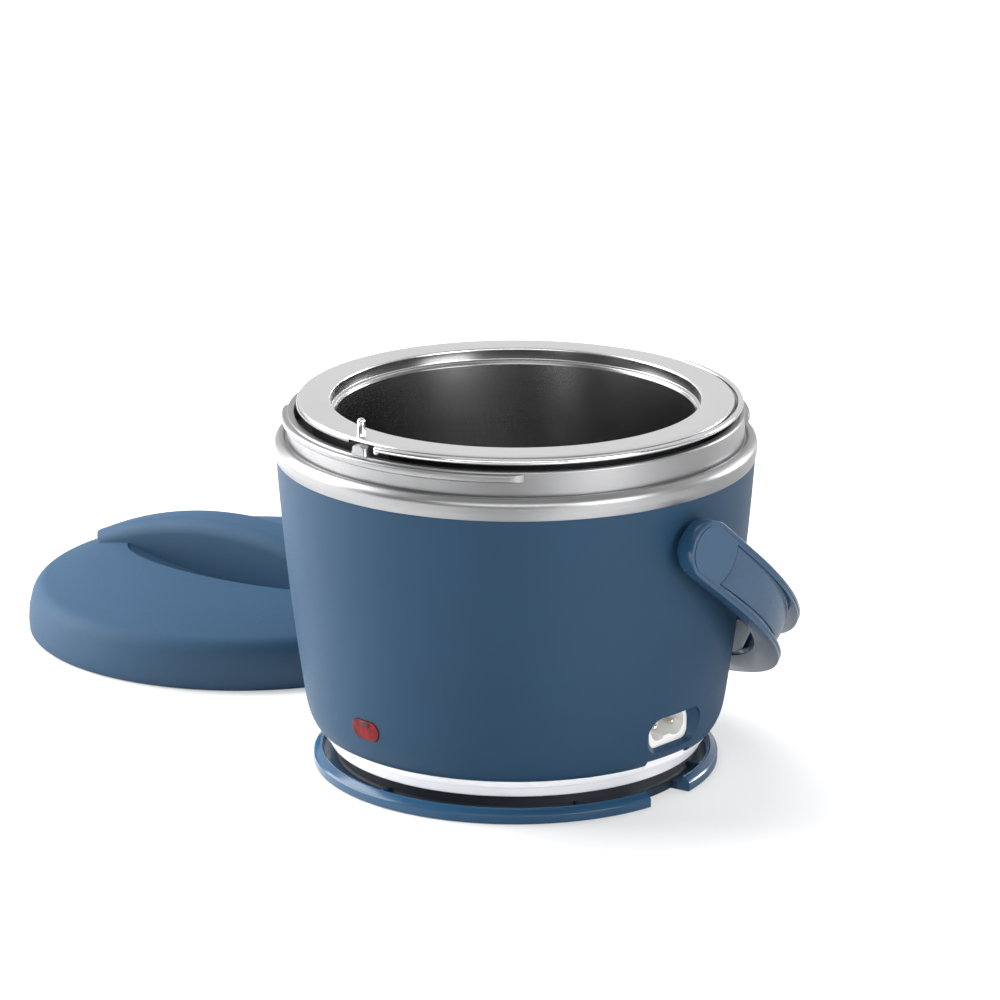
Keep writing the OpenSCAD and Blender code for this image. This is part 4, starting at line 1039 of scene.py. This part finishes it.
# %% Housing
SOCKET_Z, SOCKET_R, SOCKET_DEPTH, PIN_GAP = 25.7, 4.1, 9.4, 8.6
HOUSING_W, HOUSING_LOW, WAIST_HALF_H = 21.2, 18.8, 3.1
PLATE_HALF_W, PLATE_X = 13.9, FACE_X - 7.6


def turn_piece(piece, degrees):
    piece.rotation_euler.z = math.radians(degrees)
    return set_place(piece)


def add_housing():
    back_x = FACE_X - SOCKET_DEPTH - 1.6
    front = plate(HOUSING_W, HOUSING_LOW, WINDOW_HIGH - 0.4, 2.4, 3.0)
    face = block("inlet_block", [(back_x, y, z) for y, z in front], (FACE_X - back_x, 0, 0))
    combine(face, brick("inlet_plate", (PLATE_X, PLATE_X + 2), (-PLATE_HALF_W, PLATE_HALF_W),
                        (WINDOW_LOW - 0.6, WINDOW_HIGH + 1.6)), "UNION")
    depth, half = (FACE_X - SOCKET_DEPTH, FACE_X + 1), PIN_GAP / 2
    for side in (-1, 1):
        combine(face, tube_x("bore", *depth, side * (half - 0.2), SOCKET_Z, SOCKET_R))
    combine(face, brick("waist", depth, (-half, half),
                        (SOCKET_Z - WAIST_HALF_H, SOCKET_Z + WAIST_HALF_H)))
    return turn_piece(soften(face, 0.3, 2, 50), INLET_TURN)


settle(add_housing(), 35, "base", "inlet_white", inlet_finish, "inlet_housing")

# %% Pins
INLET_PIN_R, PIN_ROOT, TAB_SIZE, TAB_Z = 1.18, 0.3, (4.6, 0.8, 5.5), -4.85


def add_inlet_pin(side):
    root_r = INLET_PIN_R + PIN_ROOT
    outline = [(0.0, -2.6), (root_r, -2.6), (root_r, 0.0), (INLET_PIN_R, 0.0), (INLET_PIN_R, 7.2)]
    outline += arc(0, 7.42, INLET_PIN_R, 0, 90, 8)
    pin = lathe("inlet_pin_pair", outline, steps=28, closed=False)
    bpy.ops.mesh.primitive_cube_add(size=MM)
    tab = bpy.context.object
    tab.scale = TAB_SIZE
    join(pin, moved(tab, 0, 0, TAB_Z))
    pin.rotation_euler.y = math.pi / 2
    return moved(pin, FACE_X - SOCKET_DEPTH, side * PIN_GAP / 2, SOCKET_Z)


inlet_pins = turn_piece(join(add_inlet_pin(-1), add_inlet_pin(1)), INLET_TURN)
settle(inlet_pins, 40, "base", "nickel_pins", pin_finish, "inlet_pins")

# %% [markdown]
# ## The handle
# The handle is one glossy moulding with an H-shaped section: two flanges and a web between them.
# Its ends are flat round caps. The outline is drawn flat as an arch, filled and extruded to the
# handle's width, and the hollows are cut from it. It is then folded down behind the base.

# %% Arch outlines
ARM_IN_X, ARM_OUT_X, ARM_END_R = 80.3, 86.4, 9.6
REACH, GRIP_IN, WEB_OUT, GRIP_HALF = 111.0, 96.4, 100.5, 8.1
ARM_STRAIGHT, HANDLE_WALL, WEB_STEP, CAP_R = 20.0, 2.3, 0.8, 12.4
COVER_T, COVER_ARM_T = 2.4, 0.7
FOLD_ANGLE = 38.6


def arch(x, top, foot, steps=96):
    line = [(x, foot), (x, ARM_STRAIGHT)]
    for k in range(1, steps):
        a = math.pi * k / steps
        line.append((x * math.cos(a), ARM_STRAIGHT + (top - ARM_STRAIGHT) * math.sin(a)))
    return line + [(-x, ARM_STRAIGHT), (-x, foot)]


def arch_band(name, x_out, top_out, x_in, top_in, foot, half_w):
    outline = arch(x_out, top_out, foot) + list(reversed(arch(x_in, top_in, foot)))
    return block(name, [(x, y, -half_w) for x, y in outline], (0, 0, 2 * half_w))


def side_strip(name, inset, round_end=False):
    """The handle seen from its side, drawn in by an inset: a strip that narrows to the grip."""
    end_half, grip_half, far = ARM_END_R - inset, GRIP_HALF - inset, REACH + 1
    end = arc(0, 0, end_half, 90, 270, 48) if round_end else [(0, end_half), (0, -end_half)]
    outline = [(-90, y, z) for y, z in end + [(far, -grip_half), (far, grip_half)]]
    return block(name, outline, (180, 0, 0))


def fold(piece):
    piece.rotation_euler.x = math.radians(-FOLD_ANGLE)
    return moved(piece, 0, 0, PIVOT_Z)


# %% Handle body
def cap_cutter(radius):
    return tube_x("cap_edge", -100, 100, 0, 0, radius, 96)


def add_handle():
    body = arch_band("handle_moulding", ARM_OUT_X, REACH, ARM_IN_X, GRIP_IN, -ARM_END_R - 1,
                     ARM_END_R + 1)
    combine(body, side_strip("handle_side", 0, round_end=True), "INTERSECT")
    channel = arch_band("channel", ARM_OUT_X + 9, REACH + 9, ARM_OUT_X - WEB_STEP, WEB_OUT, 5,
                        ARM_END_R)
    combine(channel, side_strip("channel_side", HANDLE_WALL), "INTERSECT")
    combine(body, combine(channel, cap_cutter(CAP_R)))
    hollow = arch_band("hollow", ARM_OUT_X - WEB_STEP - HANDLE_WALL, WEB_OUT - HANDLE_WALL,
                       ARM_IN_X - 9, GRIP_IN - 9, 9, ARM_END_R)
    combine(hollow, side_strip("hollow_side", HANDLE_WALL), "INTERSECT")
    return soften(combine(body, hollow), 0.7, 3, 40)


handle = add_handle()
print("handle faces so far:", len(handle.data.polygons))

# %% [markdown]
# A fine groove runs just inside the handle's edge, where a mould's two halves would meet. It is
# cut after the edges are softened, because a bevel is held back by the narrowest strip it meets.
# Thin ribs stiffen the hollow underside, and a stud on each arm is the pivot.

# %% Groove, ribs and pivot studs
GROOVE_INSET, GROOVE_W, GROOVE_DEPTH = 1.05, 0.4, 0.22
RIB_COUNT, RIB_HALF_T = 12, 0.8
STUD_X, STUD_HALF_L, STUD_R = 77.5, 3.5, 5.0


def add_edge_groove():
    groove = arch_band("edge_groove", ARM_OUT_X + 2, REACH + 2, ARM_OUT_X - GROOVE_DEPTH,
                       REACH - GROOVE_DEPTH, -ARM_END_R, ARM_END_R)
    combine(groove, side_strip("groove_outside", GROOVE_INSET, round_end=True), "INTERSECT")
    return combine(groove, side_strip("groove_inside", GROOVE_INSET + GROOVE_W, round_end=True))


def add_handle_rib(angle):
    rib = brick("rib", (60, 125), (-RIB_HALF_T, RIB_HALF_T), (-ARM_END_R, ARM_END_R), angle)
    moved(rib, 0, ARM_STRAIGHT, 0)
    band = arch_band("rib_band", ARM_OUT_X - WEB_STEP - 1, WEB_OUT - 1, ARM_IN_X + 1.2,
                     GRIP_IN + 0.6, ARM_STRAIGHT, ARM_END_R)
    combine(rib, band, "INTERSECT")
    return combine(rib, side_strip("rib_side", HANDLE_WALL / 2), "INTERSECT")


combine(handle, add_edge_groove())
handle_ribs = [add_handle_rib(180 * k / (RIB_COUNT + 1)) for k in range(1, RIB_COUNT + 1)]
studs = [tube_x("stud", side * STUD_X - STUD_HALF_L, side * STUD_X + STUD_HALF_L, 0, 0, STUD_R, 48)
         for side in (-1, 1)]
fold(join(handle, *handle_ribs, *studs))
settle(handle, 32, "carry_handle", "handle_blue", handle_finish, "handle")

# %% [markdown]
# The hand rests on a softer insert in the handle's outer channel. It is crowned across its width,
# more at the grip than on the arms, so it is extruded in many thin slices whose outer skin is
# then sunk towards both edges.

# %% Grip insert
COVER_HALF, COVER_SLICES, CROWN, COVER_GAP, COVER_GRIP_GAP = 8.0, 16, 1.5, 0.2, 3.2


def add_cover():
    """The insert as an arch-shaped slab, cut into slices across the handle's width."""
    outline = arch(ARM_OUT_X - WEB_STEP + COVER_ARM_T, WEB_OUT + COVER_T, 5)
    outline += list(reversed(arch(ARM_OUT_X - WEB_STEP, WEB_OUT, 5)))
    piece = fill_outline("grip_insert", [(x, y, -COVER_HALF) for x, y in outline])
    for _ in range(COVER_SLICES):
        step = (0, 0, 2 * COVER_HALF / COVER_SLICES * MM)
        bpy.ops.mesh.extrude_region_move(TRANSFORM_OT_translate={"value": step})
    close_up()
    bpy.ops.object.mode_set(mode="OBJECT")
    return piece


def crown_cover(piece):
    half_x, half_y = ARM_OUT_X - WEB_STEP, WEB_OUT - ARM_STRAIGHT
    for vertex in piece.data.vertices:
        x, y, z = (c / MM for c in vertex.co)
        up = max(0.0, y - ARM_STRAIGHT)
        if math.hypot(x / half_x, up / half_y) > 1.003:
            way = Vector((x / half_x ** 2, up / half_y ** 2, 0)).normalized()
            sink = CROWN * min(1, up / half_y) * (z / COVER_HALF * 1.9) ** 2 / 1.9
            vertex.co -= way * min(sink, COVER_T - 0.6) * MM


def cover_strip():
    """The insert's own plan, a little narrower than the channel and more so at the grip."""
    end_half, far = ARM_END_R - HANDLE_WALL - COVER_GAP, REACH + 1
    grip_half = GRIP_HALF - HANDLE_WALL - COVER_GRIP_GAP
    outline = [(-90, 0, -end_half), (-90, far, -grip_half), (-90, far, grip_half),
               (-90, 0, end_half)]
    return block("cover_side", outline, (180, 0, 0))


cover = add_cover()
crown_cover(cover)
combine(cover, cover_strip(), "INTERSECT")
combine(cover, cap_cutter(CAP_R + COVER_GAP))
fold(soften(cover, 0.3, 2, 50))
settle(cover, 35, "carry_handle", "grip_blue", grip_finish, "grip_cover")

# %% [markdown]
# ## The lid
# The lid is a low dome with a deep skirt. Two finger scoops are cut out of the dome, and a grip
# bar stands between them with a gentle arch along its top. A moulder would cut exactly these
# forms in the steel of the mould, so they are cut here in the same order.

# %% Dome
LID_R, SKIRT_H, DOME_H, LID_WALL = 78.5, 16.2, 25.4, 2.0
LID_SHOULDER_R = LID_R - 2.5
DOME_EDGE_R, DOME_EDGE_Z, DOME_POWER = LID_SHOULDER_R - 1.2, SKIRT_H + 0.9, 3.3


def dome_z(r):
    return DOME_H - (DOME_H - DOME_EDGE_Z) * (r / DOME_EDGE_R) ** DOME_POWER


def dome_line(radii, sink=0.0):
    return [(r, dome_z(r) - sink) for r in radii]


def add_dome(name):
    skirt = [(0.0, 0.0), (LID_R - 1.6, 0.0)] + arc(LID_R - 1.6, 1.5, 1.5, -90, 0, 6)[1:]
    skirt += [(LID_R, 4.0), (LID_R - 0.15, 8.0)]
    shoulder = rounded([(LID_R - 0.15, 7.0), (LID_SHOULDER_R + 0.5, SKIRT_H + 0.4, 9.0),
                        (60.0, dome_z(60.0))], 14)[1:-1]
    top = dome_line((60, 54, 48, 42, 36, 30, 24, 18, 12, 6, 0.0))
    return lathe(name, skirt + shoulder + top, steps=224, closed=False)


# %% Grip bar
BAR_L, BAR_W, BAR_H, BAR_END_H, BAR_SOFT, BAR_ROOT = 132.0, 20.0, 38.0, 23.8, 5.5, 24


def add_bar(inset):
    """A band with soft edges, swept along the arch and trimmed to its plan."""
    half_l, half_w, soft = BAR_L / 2 - inset, BAR_W / 2 - inset, BAR_SOFT - inset
    rise = BAR_H - BAR_END_H
    arch_r = (half_l ** 2 + rise ** 2) / (2 * rise)
    half_turn = math.degrees(math.asin(half_l / arch_r)) + 2
    section = [(arch_r - BAR_ROOT, -half_w)]
    section += arc(arch_r - soft, -half_w + soft, soft, -90, 0, 12)
    section += arc(arch_r - soft, half_w - soft, soft, 0, 90, 12) + [(arch_r - BAR_ROOT, half_w)]
    bar = lathe("grip_bar", section, steps=72, turn=2 * half_turn, start=90 - half_turn)
    bar.rotation_euler.x = math.pi / 2
    moved(bar, 0, 0, BAR_H - inset - arch_r)
    plan = [(x, y, 0) for x, y in plate(2 * half_l, -half_w, half_w, 6, 6, 10)]
    return combine(bar, block("bar_plan", plan, (0, 0, 60)), "INTERSECT")


# %% Finger scoops
SCOOP_DEPTH, SCOOP_L, SCOOP_HALF_L, SCOOP_HALF_W, SCOOP_Y = 7.8, 112.0, 52.0, 26.5, 2.0
WHEEL_REACH = (SCOOP_L ** 2 / 4 + SCOOP_DEPTH ** 2) / (2 * SCOOP_DEPTH)


def add_scoop(side, extra):
    """A crescent-shaped cutter: a leaning round wall, and a floor that curves along the bar."""
    reach, wall_r = WHEEL_REACH + extra, SCOOP_HALF_W + extra
    wall = [(0.0, 8.0), (wall_r - 8.0, 8.0), (wall_r + 4.0, 34.0), (0.0, 34.0)]
    scoop = lathe("scoop", wall, steps=160, closed=False)
    scoop.scale.x = SCOOP_HALF_L / SCOOP_HALF_W
    moved(scoop, 0, side * SCOOP_Y, 0)
    near, far = sorted((-2 * side, -44 * side))
    tread = [(reach - 30, near), (reach, near), (reach, far), (reach - 30, far)]
    floor = lathe("scoop_floor", tread, steps=360)
    floor.rotation_euler.x = math.pi / 2
    moved(floor, 0, 0, DOME_H - SCOOP_DEPTH + WHEEL_REACH)
    return combine(scoop, floor, "INTERSECT")


# %% [markdown]
# The lid is hollow like any moulding, with an even wall. Its inside is therefore built from the
# same forms, each drawn in by the wall's thickness, and cut out in one piece. Two short lugs
# inside the skirt slide under the lugs of the neck.

# %% Lid body
LID_X, LID_Y, LID_TURN = -168.2, 37.2, 7.0
BAR_KEEP_Z = DOME_H - SCOOP_DEPTH - 1.5


def add_lid():
    lid = add_dome("lid_moulding")
    for side in (-1, 1):
        combine(lid, add_scoop(side, 0))
    soften(lid, 1.2, 4, 16)
    keep = [(0.0, BAR_KEEP_Z), (80.0, BAR_KEEP_Z), (80.0, 60.0), (0.0, 60.0)]
    bar = combine(add_bar(0), lathe("bar_keep", keep, steps=64, closed=False), "INTERSECT")
    return combine(lid, bar, "UNION")


def add_lid_hollow():
    outline = [(0.0, -1.0), (76.8, -1.0), (76.8, 8.0), (73.8, SKIRT_H - 2.2)]
    outline += dome_line((72, 66, 60, 50, 40, 30, 20, 10, 0.0), LID_WALL)
    hollow = lathe("lid_hollow", outline, steps=128, closed=False)
    combine(hollow, add_bar(LID_WALL), "UNION")
    for side in (-1, 1):
        combine(hollow, add_scoop(side, LID_WALL))
    return hollow


def add_lid_lug(start):
    outline = [(75.8, 1.4), (77.3, 0.8), (77.3, 4.0), (75.8, 4.0)]
    return lathe("lid_lug", outline, steps=60, turn=60, start=start)


lid = combine(add_lid(), add_lid_hollow())
join(lid, add_lid_lug(20), add_lid_lug(200))
moved(turn_piece(lid, LID_TURN), LID_X, LID_Y, 0)
settle(lid, 30, "lid", "lid_blue", lid_finish, "lid_shell")

# %% [markdown]
# ## Finishes of the hidden pieces
# The heater, wires, screws and feet keep the shapes of the CAD model. They show only when the
# box is opened or turned over, yet each has its own stuff: mica, glass fibre, zinc, silicone.

# %% Hidden finishes
zinc = plastic("zinc_steel", (0.56, 0.57, 0.58), 0.32, 0.08, 0.06, metal=0.95)
HIDDEN_FINISHES = {
    "heating_well": well_finish,
    "heating_band": plastic("heater_mica", (0.30, 0.20, 0.10), 0.55, 0.1, 0.2),
    "band_screw": zinc,
    "insulation_wrap": plastic("glass_fibre", (0.72, 0.70, 0.64), 0.9, 0.5, 0.1, grain_scale=900),
    "thermostat": plastic("phenolic", (0.05, 0.035, 0.03), 0.45, 0.08, 0.1),
    "thermal_fuse": plastic("fuse_body", (0.75, 0.74, 0.70), 0.5),
    "base_pan": white_finish,
    "cord_wrap_base": ring_finish,
    "rubber_feet": rubber_finish,
    "base_screws": zinc,
    "lamp_bracket": black_finish,
    "indicator_lamp": plastic("neon_lamp", (0.60, 0.25, 0.08), 0.12, 0.02, 0.05, coat=0.5),
    "lead_wires": plastic("silicone_wire", (0.70, 0.66, 0.58), 0.45),
    "handle_retainers": black_finish,
    "handle_screws": zinc,
    "bail_ears": steel_finish,
    "lid_liner": plastic("liner_grey", (0.30, 0.31, 0.33), 0.4, 0.05, 0.04),
    "lid_gasket": plastic("silicone_ring", (0.68, 0.68, 0.67), 0.5, 0.06, 0.04),
}
for name, finish in HIDDEN_FINISHES.items():
    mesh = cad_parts[name].data
    mesh.materials.clear()
    mesh.materials.append(finish)
print("hidden pieces dressed:", len(HIDDEN_FINISHES))
